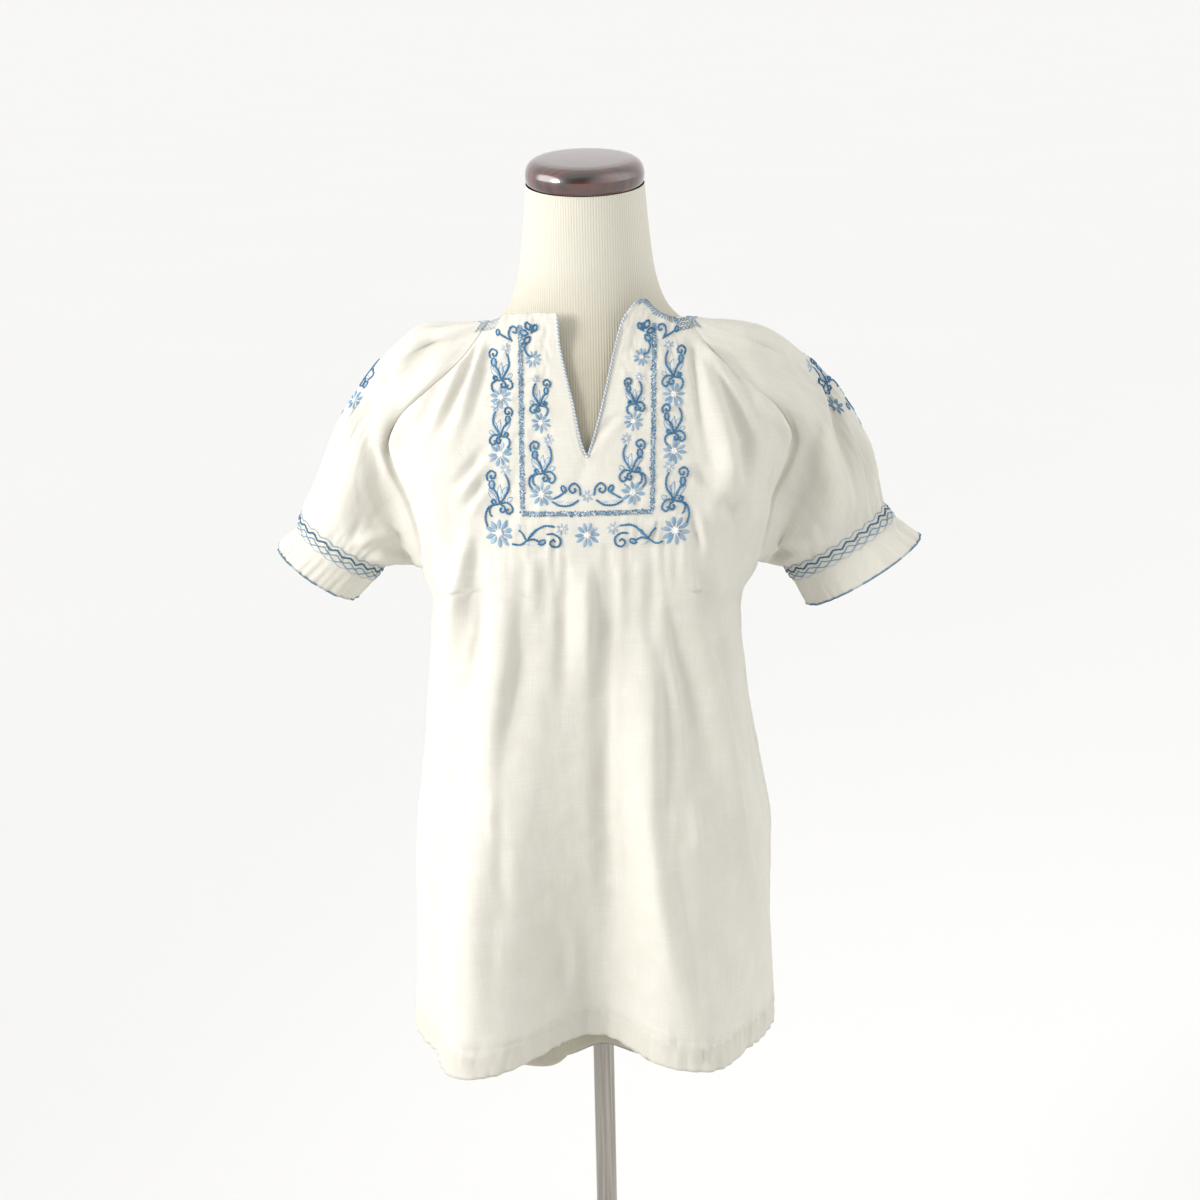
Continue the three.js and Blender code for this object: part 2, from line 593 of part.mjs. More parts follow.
// Joins rings of equal count into a closed body, with a fan over the first and the last ring.
function closedRings(rings) {
  const sides = rings[0].length;
  const points = rings.flat();
  const triangles = [];
  for (let index = 0; index < rings.length - 1; index += 1) {
    for (let at = 0; at < sides; at += 1) {
      const next = (at + 1) % sides;
      const [a, b] = [index * sides + at, index * sides + next];
      const [c, d] = [a + sides, b + sides];
      triangles.push(a, b, d, a, d, c);
    }
  }
  const fan = (start, flip) => {
    const middle = vector(0, 0, 0);
    for (let at = 0; at < sides; at += 1) middle.add(points[start + at]);
    const hub = points.push(middle.multiplyScalar(1 / sides)) - 1;
    for (let at = 0; at < sides; at += 1) {
      const pair = [start + at, start + ((at + 1) % sides)];
      triangles.push(hub, ...(flip ? pair.reverse() : pair));
    }
  };
  fan(0, true);
  fan((rings.length - 1) * sides, false);
  return solidFrom(points, triangles);
}

// Turns a profile of [radius, height] pairs about the Z axis.
function turned(profile) {
  const outline = profile.map(([radius, height]) => new THREE.Vector2(radius, height));
  return new THREE.LatheGeometry(outline, ROUND_SIDES).rotateX(Math.PI / 2);
}

function neckCap() {
  const profile = [
    [0, 0], [54.5, 0], [56.3, 3], [57, 8], [56.6, 13], [55, 17.5], [52, 21], [47.5, 23.5], [0, 25],
  ];
  return turned(profile);
}

function pole() {
  const [foot, top] = [POLE_FOOT_Z, POLE_TOP_Z];
  return turned([[0, foot], [POLE_RADIUS, foot], [POLE_RADIUS, top], [0, top]]);
}

function standBase() {
  const socket = POLE_RADIUS + SOCKET_GAP;
  const floor = POLE_FOOT_Z - SOCKET_GAP;
  const disc = [
    [0, 0], [BASE_RADIUS - 2, 0], [BASE_RADIUS, 2], [BASE_RADIUS, 7], [BASE_RADIUS - 4, 11],
  ];
  const collar = [[24, 20], [20, 24], [19, 48], [17, 50], [socket, 50], [socket, floor], [0, floor]];
  return turned([...disc, ...collar]);
}

// ---------------------------------------------------------------- scene
const cotton = { color: 0xf6f3ea, roughness: 0.85, metalness: 0 };
const jersey = { color: 0xe9e4d2, roughness: 0.95, metalness: 0 };
const darkWood = { color: 0x4a160a, roughness: 0.18, metalness: 0 };
const chrome = { color: 0xc9cbce, roughness: 0.12, metalness: 1 };

const model = new THREE.Group();

function place(name, geometry, finish) {
  const mesh = new THREE.Mesh(geometry, new THREE.MeshStandardMaterial({ ...finish, name }));
  mesh.name = name;
  model.add(mesh);
  return mesh;
}

place('blouse_front', blouseFront(), cotton);
place('blouse_back', blouseBack(), cotton);
for (const [name, { side }] of Object.entries(SLEEVES)) place(name, sleeve(side), cotton);
place('form_torso', dressForm(), jersey);
const cap = place('neck_cap', neckCap(), darkWood);
cap.position.set(0, -CAP_FORWARD, NECK_TOP_Z + CAP_GAP - CAP_FORWARD * Math.tan(CAP_TILT));
cap.rotation.x = CAP_TILT;
place('pole', pole(), chrome);
place('stand_base', standBase(), chrome);

export default model;
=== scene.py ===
"""Looks of the embroidered folk blouse on its dress form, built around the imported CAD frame.

Tables and sizes are in millimetres, in the frame's axes: +Z up, the front faces -Y, left is -X.
"""
import math

import bpy
import numpy as np
from mathutils import Matrix, Vector
from mathutils.bvhtree import BVHTree


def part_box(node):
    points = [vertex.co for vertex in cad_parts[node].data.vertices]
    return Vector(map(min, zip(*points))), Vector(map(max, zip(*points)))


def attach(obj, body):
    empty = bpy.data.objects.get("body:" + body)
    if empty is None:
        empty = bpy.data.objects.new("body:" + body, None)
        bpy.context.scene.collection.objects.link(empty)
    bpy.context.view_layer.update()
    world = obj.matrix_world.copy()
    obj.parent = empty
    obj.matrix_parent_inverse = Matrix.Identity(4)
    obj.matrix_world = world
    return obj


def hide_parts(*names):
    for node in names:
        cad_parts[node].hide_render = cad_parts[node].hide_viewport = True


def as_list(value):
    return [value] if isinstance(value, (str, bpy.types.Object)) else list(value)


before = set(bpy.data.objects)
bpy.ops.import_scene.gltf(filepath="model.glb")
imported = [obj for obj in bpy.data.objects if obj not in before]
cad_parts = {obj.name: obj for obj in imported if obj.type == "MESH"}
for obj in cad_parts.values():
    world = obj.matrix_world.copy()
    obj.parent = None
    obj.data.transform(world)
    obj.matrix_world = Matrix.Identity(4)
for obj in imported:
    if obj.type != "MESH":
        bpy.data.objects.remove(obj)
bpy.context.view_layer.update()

MM = 0.001


def table(names, *rows):
    """A table with named columns, as a dictionary of arrays."""
    return dict(zip(names.split(), np.array(rows, float).T))


# ------------------------------------------------------------------ sizes shared with the frame
HEM_Z = 595
UNDERARM_Z = 1084
SLIT_FOOT_Z = 1215
BUST_Z = 1131
BODY_POWER = 2.3
FOLD_GROWTH = 1.7
NECK_SEAM_Z = 1336
NECK_BACK_SEAM_Z = 1310
NECK_BACK_Z = 1338
NECK_LEFT_LIFT = 8
NECK_RIGHT_LIFT = 19
NECK_LIP_SHARE = 0.44
NECK_EDGE_BOW = 12
SLIT_FOOT_X = -3
HEM_RISE = 15
HEM_RISE_ANGLE = -1
HEM_RISE_SPREAD = 40
SHOULDER_ARCH = {-1: 0.165, 1: 0.125}
BAND_START = 3

BODY = table(
    "z side front back shift",
    (595, 185, 150, 148, -8), (643, 184, 146, 147, -7), (737, 181, 140, 143, -7),
    (812, 177, 135, 135, -5), (881, 166, 131, 123, -6), (945, 159, 129, 114, -8),
    (1020, 154, 131, 110, -8), (1060, 155, 133, 109, -6), (1084, 166, 134, 109, -3),
    (1124, 172, 135, 109, 0), (1159, 180, 131, 109, 0), (1201, 196, 119, 107, 0),
    (1235, 203, 110, 104, 0), (1273, 190, 99, 99, 0), (1308, 157, 87, 90, 0),
    (1336, 130, 78, 80, 0), (1354, 122, 72, 76, 0),
)

RAGLAN = table(
    "z reach around",
    (1084, 166, 180), (1102, 162, 150), (1124, 163, 132), (1159, 171, 110), (1201, 188, 84),
    (1222, 192, 70), (1248, 178, 54), (1273, 151, 42), (1291, 130, 35), (1308, 113, 30),
    (1336, 92, 22),
)

# Long folds: angle at the top and at the hem, spread to each side, height at the top and at the hem.
FOLDS = (
    (-28, -38, 22, 22, 4, 29), (-42, -82, 16, 16, 5, 2), (4, 0, 28, 20, -2, -66),
    (22, 32, 20, 24, 3, 16), (34, 84, 18, 13, 6, 1), (112, 116, 18, 18, 2, 13),
    (140, 138, 18, 18, 4, -11), (160, 163, 18, 18, 2, 16), (-178, -174, 15, 15, 3, -12),
    (-152, -155, 17, 17, 4, 14), (-124, -127, 20, 20, 3, -9),
)

# Fullness of the chest and the shoulder blades: angle, height z, spread around and up, height.
MOUNDS = (
    (45, 1190, 24, 90, 8), (-45, 1195, 26, 95, 9), (140, 1190, 26, 100, 7),
    (-138, 1185, 26, 100, 8),
)

# Fullness of the sleeves: angle around, spread, share of the length where it is highest, height.
SLEEVE_FOLDS = (
    (4, 24, 0.6, 4), (38, 20, 0.5, -4), (66, 22, 0.6, 4.5), (100, 22, 0.5, -3.5),
    (134, 22, 0.7, 4), (-34, 22, 0.5, -3.5), (-68, 24, 0.6, 4), (-104, 22, 0.5, -3.5),
    (-138, 22, 0.7, 3.5),
)

SECTION_COLUMNS = "outerX outerZ innerX innerZ front back"
SLEEVES = {
    -1: table(
        SECTION_COLUMNS,
        (221, 1263, 180, 1086, 40, 44), (241, 1232, 188, 1086, 46, 48),
        (265, 1184, 197, 1087, 50, 48), (286, 1142, 206, 1087, 41, 41),
        (291, 1125, 217, 1072, 40, 40), (312, 1107, 237, 1053, 45, 45),
    ),
    1: table(
        SECTION_COLUMNS,
        (232, 1262, 174, 1080, 39, 44), (252, 1233, 179, 1079, 43, 47),
        (276, 1188, 184, 1078, 46, 46), (287, 1138, 189, 1077, 38, 37),
        (301, 1122, 201, 1059, 37, 36), (325, 1103, 214, 1036, 43, 41),
    ),
}

CLEFT_WIDTH = 30
CLEFT_RISE = 60
FORM_BOTTOM_Z = 563
NECK_TOP_Z = 1456
CAP_TILT = math.radians(8)
FORM = table(
    "z side front back power cleft tilt",
    (571, 139, 84, 84, 2.2, 34, 0), (600, 150, 94, 95, 2.2, 32, 0),
    (660, 157, 99, 108, 2.2, 22, 0), (740, 160, 101, 122, 2.2, 4, 0),
    (800, 153, 99, 116, 2.2, 0, 0), (880, 134, 92, 98, 2.1, 0, 0),
    (945, 121, 90, 82, 2.1, 0, 0), (1020, 135, 105, 86, 2.1, 0, 0),
    (1084, 151, 121, 93, 2.2, 0, 0), (1130, 158, 128.8, 98, 2.3, 0, 0),
    (1180, 169, 120, 100, 2.3, 0, 0), (1235, 184, 105, 97, 2.1, 0, 0),
    (1265, 187, 96, 92, 1.9, 0, 0), (1288, 178, 89, 87, 1.7, 0, 0),
    (1303.2, 158, 83, 83, 1.7, 0, 0), (1311.7, 132, 79, 79, 1.7, 0, 0),
    (1317.8, 108, 75, 76, 1.9, 0, 0), (1323.5, 93, 71, 73, 2, 0, 0.05),
    (1340, 77, 65, 69, 2, 0, 0.2), (1366, 67, 60, 64, 2, 0, 0.5),
    (1401, 61.5, 59, 59, 2, 0, 0.8), (NECK_TOP_Z, 56.5, 57, 53, 2, 0, 1),
)

# How far the lips of the throat slit stand open, by the height of their row.
SLIT_LIPS = table(
    "z left right",
    (1215, 0.2, 0.2), (1224, 4.5, 4), (1240, 8.5, 10), (1261, 12.8, 17), (1282, 18.5, 24),
    (1300, 23, 30.5), (1313, 25.5, 36), (1325, 26.6, 43), (1336, 27, 54),
)

# ------------------------------------------------------------------ sizes of the looks
CLOTH = 0.55                 # thickness of the cotton
HALF_COLUMNS = 88            # grid columns from the slit to the side of the front
BACK_COLUMNS = 130
SKIRT_ROWS = 176             # grid rows below the slit's foot
YOKE_ROWS = 46               # and above it
HEM_TURN = 27                # height of the turned-up hem
CHEST_DEPTH = 1.7            # how deep the creases are on the chest, against their table
SKIRT_DEPTH = 1.9            # and where the cloth hangs free
BACK_DEPTH = 2.6             # on the back, the flanks and the sleeves
SIDE_DEPTH = 2.4
SLEEVE_DEPTH = 1.25
YOKE_FOOT_Z = 1131           # lower edge of the embroidered yoke
LATTICE_Z = 1165             # the lattice band's lower stretch
SLEEVE_LENGTH_ROWS = 74      # grid rows from the seam to the band
BAND_ROWS = 12
FRILL_ROWS = 12

# ------------------------------------------------------------------ small helpers
def row_at(rows, z):
    """Reads every column of a table at the heights z, by cubic curves through the rows."""
    heights = rows["z"]
    z = np.clip(z, heights[0], heights[-1])
    low = np.clip(np.searchsorted(heights, z, side="right") - 1, 0, len(heights) - 2)
    step = heights[low + 1] - heights[low]
    t = (z - heights[low]) / step
    rise = 3 * t**2 - 2 * t**3
    leaving = (t**3 - 2 * t**2 + t) * step
    arriving = (t**3 - t**2) * step
    result = {}
    for key, values in rows.items():
        around = np.concatenate([values[:1], values, values[-1:]])
        reach = np.concatenate([heights[:1], heights, heights[-1:]])
        slope = (around[2:] - around[:-2]) / (reach[2:] - reach[:-2])
        eased = values[low] + (values[low + 1] - values[low]) * rise
        result[key] = eased + leaving * slope[low] + arriving * slope[low + 1]
    return result


def bump(distance):
    """1 at the middle, 0 at one spread away."""
    return np.where(np.abs(distance) < 1, 0.5 + 0.5 * np.cos(np.pi * distance), 0)


def bell(distance):
    """1 at the middle, fading out softly beyond one spread."""
    return np.exp(-(distance**2))


def smoothstep(low, high, value):
    """0 up to low, 1 from high on, and an even rise between."""
    t = np.clip((value - low) / (high - low), 0, 1)
    return t * t * (3 - 2 * t)


def turn(angle, middle):
    """Signed difference of two angles in degrees."""
    return (angle - middle + 180) % 360 - 180


def signed_power(value, power):
    return np.sign(value) * np.abs(value) ** power


def unit(vectors):
    return vectors / np.maximum(np.linalg.norm(vectors, axis=-1, keepdims=True), 1e-9)


def stack(*parts):
    """Points from their coordinates, which may be single numbers, rows or columns."""
    return np.stack(np.broadcast_arrays(*parts), axis=-1)


def way_along(points, axis=0):
    """Length travelled along the points of an axis, 0 at its first."""
    steps = np.linalg.norm(np.diff(points, axis=axis), axis=-1)
    return np.concatenate([0 * np.take(steps, [0], axis=axis), np.cumsum(steps, axis=axis)], axis=axis)


def grid_normals(points):
    """Normals of a grid of points, rows first; they face right-hand from columns to rows."""
    along_rows = np.gradient(points, axis=0)
    along_columns = np.gradient(points, axis=1)
    return unit(np.cross(along_columns, along_rows))


def pleats(place, pitch, seed):
    """Uneven soft pleats, from -1 to 1, about one pitch apart."""
    slow, quick = place / (pitch * 0.83), place / (pitch * 0.47)
    wander = 1.6 * np.sin(slow + seed) + 1.1 * np.sin(quick + 2 * seed)
    strength = 0.72 + 0.28 * np.sin(place / (pitch * 0.61) + 3 * seed)
    return strength * np.sin(2 * np.pi * place / pitch + wander)


def triangle_wave(places, pitch, phase, sharpness=1):
    """A pointed wave from -1 to 1, or a rounder one where the sharpness is below 1."""
    return 2 / np.pi * np.arcsin(sharpness * np.sin(2 * np.pi * places / pitch + phase))


# Waves of the crumple: length in mm, share of the whole, direction in radians.
CRUMPLE_WAVES = ((61, 0.45, 0.4), (37, 0.3, 1.3), (23, 0.2, 2.4), (14, 0.13, 0.9))


def crumple(a, b, seed):
    """Small wandering unevenness of worn cotton, about -1 to 1."""
    total = 0
    for size, weight, spin in CRUMPLE_WAVES:
        u = (a * math.cos(spin) + b * math.sin(spin)) / size
        v = (b * math.cos(spin) - a * math.sin(spin)) / (size * 1.7)
        total = total + weight * np.sin(2 * np.pi * u + 2.1 * np.sin(2 * np.pi * v + seed) + seed * spin)
    return total


# ------------------------------------------------------------------ creases
CREASE_REACH = 1.6           # a crease fades out at this many of its spreads from its line
CREASE_RISE = 1.15           # how far its strength reaches before its peak, as a share of that way
CREASE_FALL = 1.02           # and behind it

# Each row is a soft ridge, or a trough below 0: its height, how far it spreads to its -across side
# and to the other, the share of its way where it is highest, and its points (across, up).
FRONT_CREASES = [
    # left chest: folds that fan out from the gathers at the neck
    (-2.8, 4, 6, 0.14, (-93, 1320), (-100, 1290), (-110, 1254), (-127, 1222)),
    (3.8, 7, 8, 0.16, (-98, 1320), (-108, 1286), (-126, 1240), (-142, 1200)),
    (-4.4, 4, 5, 0.14, (-102, 1318), (-113, 1293), (-129, 1262), (-149, 1222)),
    (3.6, 7, 8, 0.25, (-107, 1314), (-134, 1274), (-156, 1234), (-169, 1200)),
    (-2.6, 6, 8, 0.5, (-122, 1298), (-148, 1264), (-170, 1222)),
    (-2.9, 5, 5, 0.4, (-96, 1226), (-113, 1204), (-134, 1182)),
    (2.4, 5, 6, 0.4, (-96, 1214), (-114, 1192), (-133, 1168)),
    (-2.3, 4, 5, 0.35, (-97, 1198), (-109, 1182), (-124, 1162)),
    (1.8, 4, 5, 0.35, (-97, 1188), (-108, 1172), (-121, 1152)),
    (3.2, 15, 12, 0.5, (-150, 1200), (-146, 1150), (-139, 1100)),
    # right chest: one bright fold that ends rounded, and flatter ones towards the arm
    (-3.0, 4, 6, 0.16, (94, 1318), (102, 1268), (110, 1204)),
    (5.8, 12, 9, 0.78, (100, 1316), (114, 1270), (127, 1225), (134, 1168)),
    (-4.8, 4, 9, 0.66, (112, 1308), (130, 1264), (144, 1224), (146, 1170)),
    (-3.0, 8, 6, 0.6, (120, 1176), (132, 1158), (146, 1162)),
    (3.8, 7, 8, 0.22, (107, 1316), (134, 1276), (160, 1234)),
    (-3.2, 5, 7, 0.3, (118, 1308), (148, 1262), (174, 1212)),
    (-2.4, 4, 6, 0.45, (94, 1206), (106, 1190), (120, 1182)),
    (2.6, 12, 13, 0.5, (148, 1196), (152, 1150), (146, 1100)),
    (-2.6, 4, 6, 0.4, (91, 1164), (97, 1142), (103, 1112)),
    (1.6, 4, 4, 0.4, (97, 1164), (103, 1144), (110, 1118)),
    # two small wrinkles at the right lip
    (-1.5, 3, 4, 0.4, (7, 1238), (20, 1248), (36, 1253)),
    (1.1, 3, 4, 0.4, (9, 1231), (22, 1240), (34, 1244)),
    # under the slit, the pull of its foot
    (-0.9, 6, 6, 0.2, (0, 1216), (-10, 1196), (-28, 1182)),
    (0.9, 6, 6, 0.3, (2, 1214), (14, 1230), (44, 1238)),
    # left skirt, with a sharp pleat from the yoke's corner
    (-4.2, 5, 11, 0.35, (-104, 1152), (-111, 1122), (-117, 1080), (-122, 1020)),
    (3.2, 9, 4, 0.35, (-115, 1150), (-122, 1122), (-129, 1080), (-136, 1010)),
    (4.8, 20, 9, 0.45, (-76, 1126), (-85, 1025), (-99, 947), (-113, 860)),
    (4.0, 22, 16, 0.5, (-116, 880), (-127, 744), (-127, 614)),
    (3.4, 11, 12, 0.4, (-108, 1120), (-127, 1084), (-147, 1015), (-156, 930)),
    (-2.8, 7, 8, 0.4, (-100, 1118), (-110, 1040), (-128, 960)),
    (-2.6, 14, 18, 0.35, (-64, 1126), (-72, 1030), (-84, 930), (-92, 820)),
    (1.5, 6, 7, 0.2, (-55, 1128), (-58, 1085), (-64, 1040)),
    (-1.4, 7, 7, 0.2, (-40, 1128), (-44, 1080), (-48, 1010)),
    (4.8, 14, 5, 0.35, (-5, 1132), (-4, 1050), (-8, 958)),
    (-2.4, 8, 6, 0.3, (-27, 1128), (-29, 1040), (-32, 940)),
    (-1.6, 7, 8, 0.5, (-93, 880), (-96, 800), (-90, 742)),
    (1.3, 5, 6, 0.5, (-100, 905), (-104, 860), (-99, 826)),
    (-2.1, 13, 9, 0.5, (-52, 760), (-44, 700), (-41, 640)),
    (1.6, 9, 9, 0.5, (-30, 770), (-27, 700), (-31, 612)),
    # the valley line and the central ridge
    (-3.4, 14, 7, 0.5, (16, 1118), (11, 1000), (8, 867), (12, 760), (22, 636)),
    (6.2, 25, 9, 0.6, (55, 1122), (53, 986), (53, 860), (62, 744), (80, 636)),
    (1.6, 6, 6, 0.2, (28, 1128), (26, 1070), (22, 1010)),
    # right skirt
    (-1.8, 7, 7, 0.3, (58, 1128), (54, 1060), (56, 990)),
    (2.4, 9, 3, 0.5, (62, 1120), (68, 1040), (80, 965), (87, 850)),
    (1.7, 6, 4, 0.6, (92, 880), (96, 838), (99, 812)),
    (3.0, 15, 7, 0.5, (72, 890), (67, 800), (78, 720), (88, 655), (94, 610)),
    (7.6, 22, 2.4, 0.5, (90, 1127), (103, 1045), (114, 999), (129, 908), (148, 806), (163, 740)),
    (-4.6, 3, 11, 0.45, (96, 1122), (109, 1046), (120, 998), (135, 907), (154, 810)),
    (1.6, 8, 8, 0.5, (150, 1000), (160, 960), (158, 920)),
    (-1.6, 9, 10, 0.5, (110, 740), (118, 690), (116, 640)),
    (1.9, 10, 9, 0.5, (132, 730), (140, 680), (139, 618)),
    # folds that the underarm pulls sideways
    (-2.0, 7, 6, 0.2, (-163, 1088), (-150, 1064), (-132, 1046)),
    (-2.2, 6, 7, 0.2, (165, 1092), (150, 1060), (128, 1040)),
    (1.6, 6, 6, 0.3, (160, 1072), (150, 1036), (139, 1002)),
]

BACK_CREASES = [
    (2.8, 8, 9, 0.4, (-70, 1300), (-86, 1240), (-110, 1180)),
    (-2.2, 8, 7, 0.35, (-56, 1304), (-66, 1240), (-84, 1170)),
    (2.1, 8, 9, 0.3, (-34, 1308), (-38, 1230), (-46, 1130)),
    (-1.9, 9, 8, 0.25, (-12, 1312), (-10, 1220), (-14, 1100)),
    (2.0, 7, 9, 0.3, (10, 1312), (14, 1230), (10, 1150)),
    (-2.0, 8, 7, 0.35, (31, 1308), (38, 1240), (46, 1170)),
    (2.7, 8, 10, 0.4, (52, 1304), (66, 1236), (82, 1160)),
    (-2.4, 9, 8, 0.45, (72, 1298), (92, 1240), (116, 1190)),
    (3.2, 13, 15, 0.5, (-128, 1180), (-118, 1040), (-124, 900), (-131, 760)),
    (-3.0, 12, 11, 0.5, (-96, 1150), (-88, 1000), (-93, 860), (-99, 700)),
    (2.9, 12, 14, 0.55, (-64, 1130), (-58, 990), (-66, 850), (-72, 640)),
    (-2.6, 11, 13, 0.55, (-24, 1100), (-20, 960), (-26, 800), (-22, 630)),
    (3.1, 14, 12, 0.5, (20, 1120), (26, 980), (22, 820), (30, 640)),
    (-2.7, 12, 12, 0.45, (62, 1120), (58, 960), (68, 800), (76, 650)),
    (3.0, 13, 11, 0.5, (98, 1150), (92, 1010), (104, 860), (112, 690)),
    (-2.3, 10, 12, 0.5, (130, 1170), (124, 1040), (136, 900), (146, 760)),
    (-2.0, 7, 7, 0.25, (-150, 1096), (-128, 1062), (-98, 1044)),
    (-2.0, 7, 7, 0.25, (152, 1100), (132, 1058), (104, 1036)),
    (-1.3, 7, 9, 0.5, (-60, 930), (-20, 916), (34, 922)),
    (1.1, 8, 8, 0.5, (-40, 966), (6, 952), (52, 958)),
]

SIDE_CREASES = [   # across is y here
    (-2.4, 12, 12, 0.5, (-30, 1060), (-24, 940), (-34, 820), (-44, 660)),
    (2.4, 13, 11, 0.55, (6, 1070), (10, 960), (4, 800), (8, 640)),
    (-2.2, 11, 13, 0.5, (44, 1060), (40, 930), (48, 800), (54, 680)),
]

# Creases of the sleeves: across is the angle around from the top, up is mm above the band.
BACK_OF_SLEEVE = [
    (-2.4, 6, 6, 0.35, (2, 262), (0, 215), (-6, 150)),
    (2.6, 7, 7, 0.35, (-10, 262), (-17, 215), (-26, 140)),
    (-3.0, 7, 7, 0.4, (-20, 260), (-32, 222), (-46, 176), (-54, 116)),
    (2.8, 8, 8, 0.5, (-34, 244), (-56, 190), (-72, 130)),
    (-2.8, 8, 8, 0.5, (-64, 160), (-84, 110), (-96, 50)),
    (2.4, 9, 9, 0.5, (-86, 130), (-102, 80), (-110, 30)),
    (-3.0, 8, 8, 0.5, (-118, 60), (-126, 34), (-146, 44)),
]
SLEEVE_CREASES = {
    -1: [
        *BACK_OF_SLEEVE,
        (3.2, 6, 6, 0.35, (12, 262), (14, 225), (22, 195), (22, 165)),
        (-3.6, 5, 5, 0.35, (18, 262), (30, 212), (38, 172), (42, 145)),
        (3.4, 7, 7, 0.4, (25, 262), (42, 209), (57, 167), (66, 138)),
        (-2.4, 6, 6, 0.4, (34, 256), (55, 205), (72, 165), (80, 140)),
        (-3.6, 3, 3, 0.5, (14, 188), (25, 170), (38, 150)),
        (3.8, 4, 11, 0.35, (28, 190), (42, 156), (66, 115), (87, 90), (107, 62)),
        (-3.2, 11, 4, 0.4, (22, 186), (35, 152), (58, 112), (79, 86), (98, 58)),
        (3.6, 5, 6, 0.5, (100, 8), (108, 26), (118, 42), (136, 46)),
        (-4.0, 7, 7, 0.5, (114, 12), (134, 30), (158, 38)),
        (-2.4, 5, 5, 0.5, (92, 44), (94, 24), (96, 8)),
    ],
    1: [
        *BACK_OF_SLEEVE,
        (2.8, 6, 6, 0.35, (2, 262), (8, 220), (10, 185)),
        (-2.4, 6, 7, 0.5, (16, 250), (26, 220), (34, 187), (32, 160)),
        (3.8, 4, 8, 0.45, (36, 262), (55, 214), (75, 178), (90, 146)),
        (-3.2, 7, 4, 0.45, (28, 262), (46, 214), (66, 178), (82, 146)),
        (6.6, 4, 16, 0.58, (16, 180), (22, 154), (33, 130), (51, 98), (62, 62), (69, 30), (75, 4)),
        (-5.2, 11, 4, 0.58, (10, 176), (15, 150), (26, 126), (44, 94), (55, 60), (62, 28), (68, 4)),
        (3.6, 4, 9, 0.5, (8, 98), (22, 54), (31, 24), (40, 4)),
        (-2.8, 9, 4, 0.5, (2, 96), (16, 52), (26, 24), (35, 4)),
        (-2.8, 9, 7, 0.5, (96, 132), (106, 84), (122, 48)),
        (3.8, 6, 6, 0.5, (168, 28), (147, 38), (131, 33), (121, 4)),
        (-5.0, 8, 8, 0.5, (160, 16), (142, 22), (130, 6)),
        (-2.6, 5, 5, 0.5, (96, 34), (98, 20), (100, 6)),
    ],
}


def crease_height(across, up, creases):
    """Sum of the creases at the places (across, up)."""
    total = np.zeros(np.shape(across))
    for height, before, after, peak, *points in creases:
        points = np.array(points, float)
        lengths = np.linalg.norm(np.diff(points, axis=0), axis=1)
        starts = np.concatenate([[0], np.cumsum(lengths)])
        nearest = np.full(total.shape, np.inf)
        offset = np.zeros(total.shape)
        way = np.zeros(total.shape)
        for index, length in enumerate(lengths):
            (ax, ay), (bx, by) = points[index], points[index + 1]
            dx, dy = (bx - ax) / length, (by - ay) / length
            along = np.clip((across - ax) * dx + (up - ay) * dy, 0, length)
            away = np.hypot(across - ax - along * dx, up - ay - along * dy)
            signed = np.sign((across - ax) * dy - (up - ay) * dx) * (1 if by > ay else -1) * away
            closer = away < nearest
            nearest = np.where(closer, away, nearest)
            offset = np.where(closer, signed, offset)
            way = np.where(closer, (starts[index] + along) / starts[-1], way)
        spread = np.where(offset < 0, before, after)
        fade = np.where(way < peak, peak * CREASE_RISE, (1 - peak) * CREASE_FALL)
        total += height * bump(offset / (CREASE_REACH * spread)) * bump((way - peak) / fade)
    return total


# ------------------------------------------------------------------ blouse body surface
def fold_height(degrees, z):
    """The long folds, which grow towards the hem, and the mounds above them."""
    fall = np.clip((BUST_Z - z) / (BUST_Z - HEM_Z), 0, 1)
    fade = 1 - smoothstep(BUST_Z - 40, BUST_Z + 60, z)
    height = 0
    for top, hem, before, after, top_height, hem_height in FOLDS:
        size = top_height + (hem_height - top_height) * fall**FOLD_GROWTH
        offset = turn(degrees, top + (hem - top) * fall)
        height = height + fade * size * bump(offset / np.where(offset < 0, before, after))
    for angle, middle_z, spread, drop, rise in MOUNDS:
        height = height + rise * bump(turn(degrees, angle) / spread) * bump((z - middle_z) / drop)
    return height


def body_point(angle, z):
    """Points on the outside of the body; the angle is in radians from the front."""
    row = row_at(BODY, z)
    across, along = np.sin(angle), np.cos(angle)
    depth = np.where(along >= 0, row["front"], row["back"])
    shape = 2 / BODY_POWER
    x = row["side"] * signed_power(across, shape)
    y = -depth * signed_power(along, shape)
    outward = unit(stack(signed_power(across, 2 - shape) / row["side"],
                         -signed_power(along, 2 - shape) / depth, np.zeros(np.shape(z))))
    lift = fold_height(np.degrees(angle), z)
    return stack(row["shift"] + x, y, z) + outward * lift[..., None]


def body_normal(angle, z):
    """Outward normals of the body at its points."""
    around = body_point(angle + 0.02, z) - body_point(angle - 0.02, z)
    upward = body_point(angle, z + 2) - body_point(angle, z - 2)
    return unit(np.cross(around, upward))


def angle_at_reach(reach, z):
    """The body's angle where it stands this far out from its middle."""
    ratio = np.clip(reach / row_at(BODY, z)["side"], -1, 1)
    return np.sign(ratio) * np.arcsin(np.abs(ratio) ** (BODY_POWER / 2))


def seam_height(z, is_back):
    """Height of a seam point of a row; behind, the rows are squeezed under a lower neckline."""
    if not is_back:
        return z
    share = (z - SLIT_FOOT_Z) / (NECK_SEAM_Z - SLIT_FOOT_Z)
    return np.where(z <= SLIT_FOOT_Z, z, SLIT_FOOT_Z + (NECK_BACK_SEAM_Z - SLIT_FOOT_Z) * share)


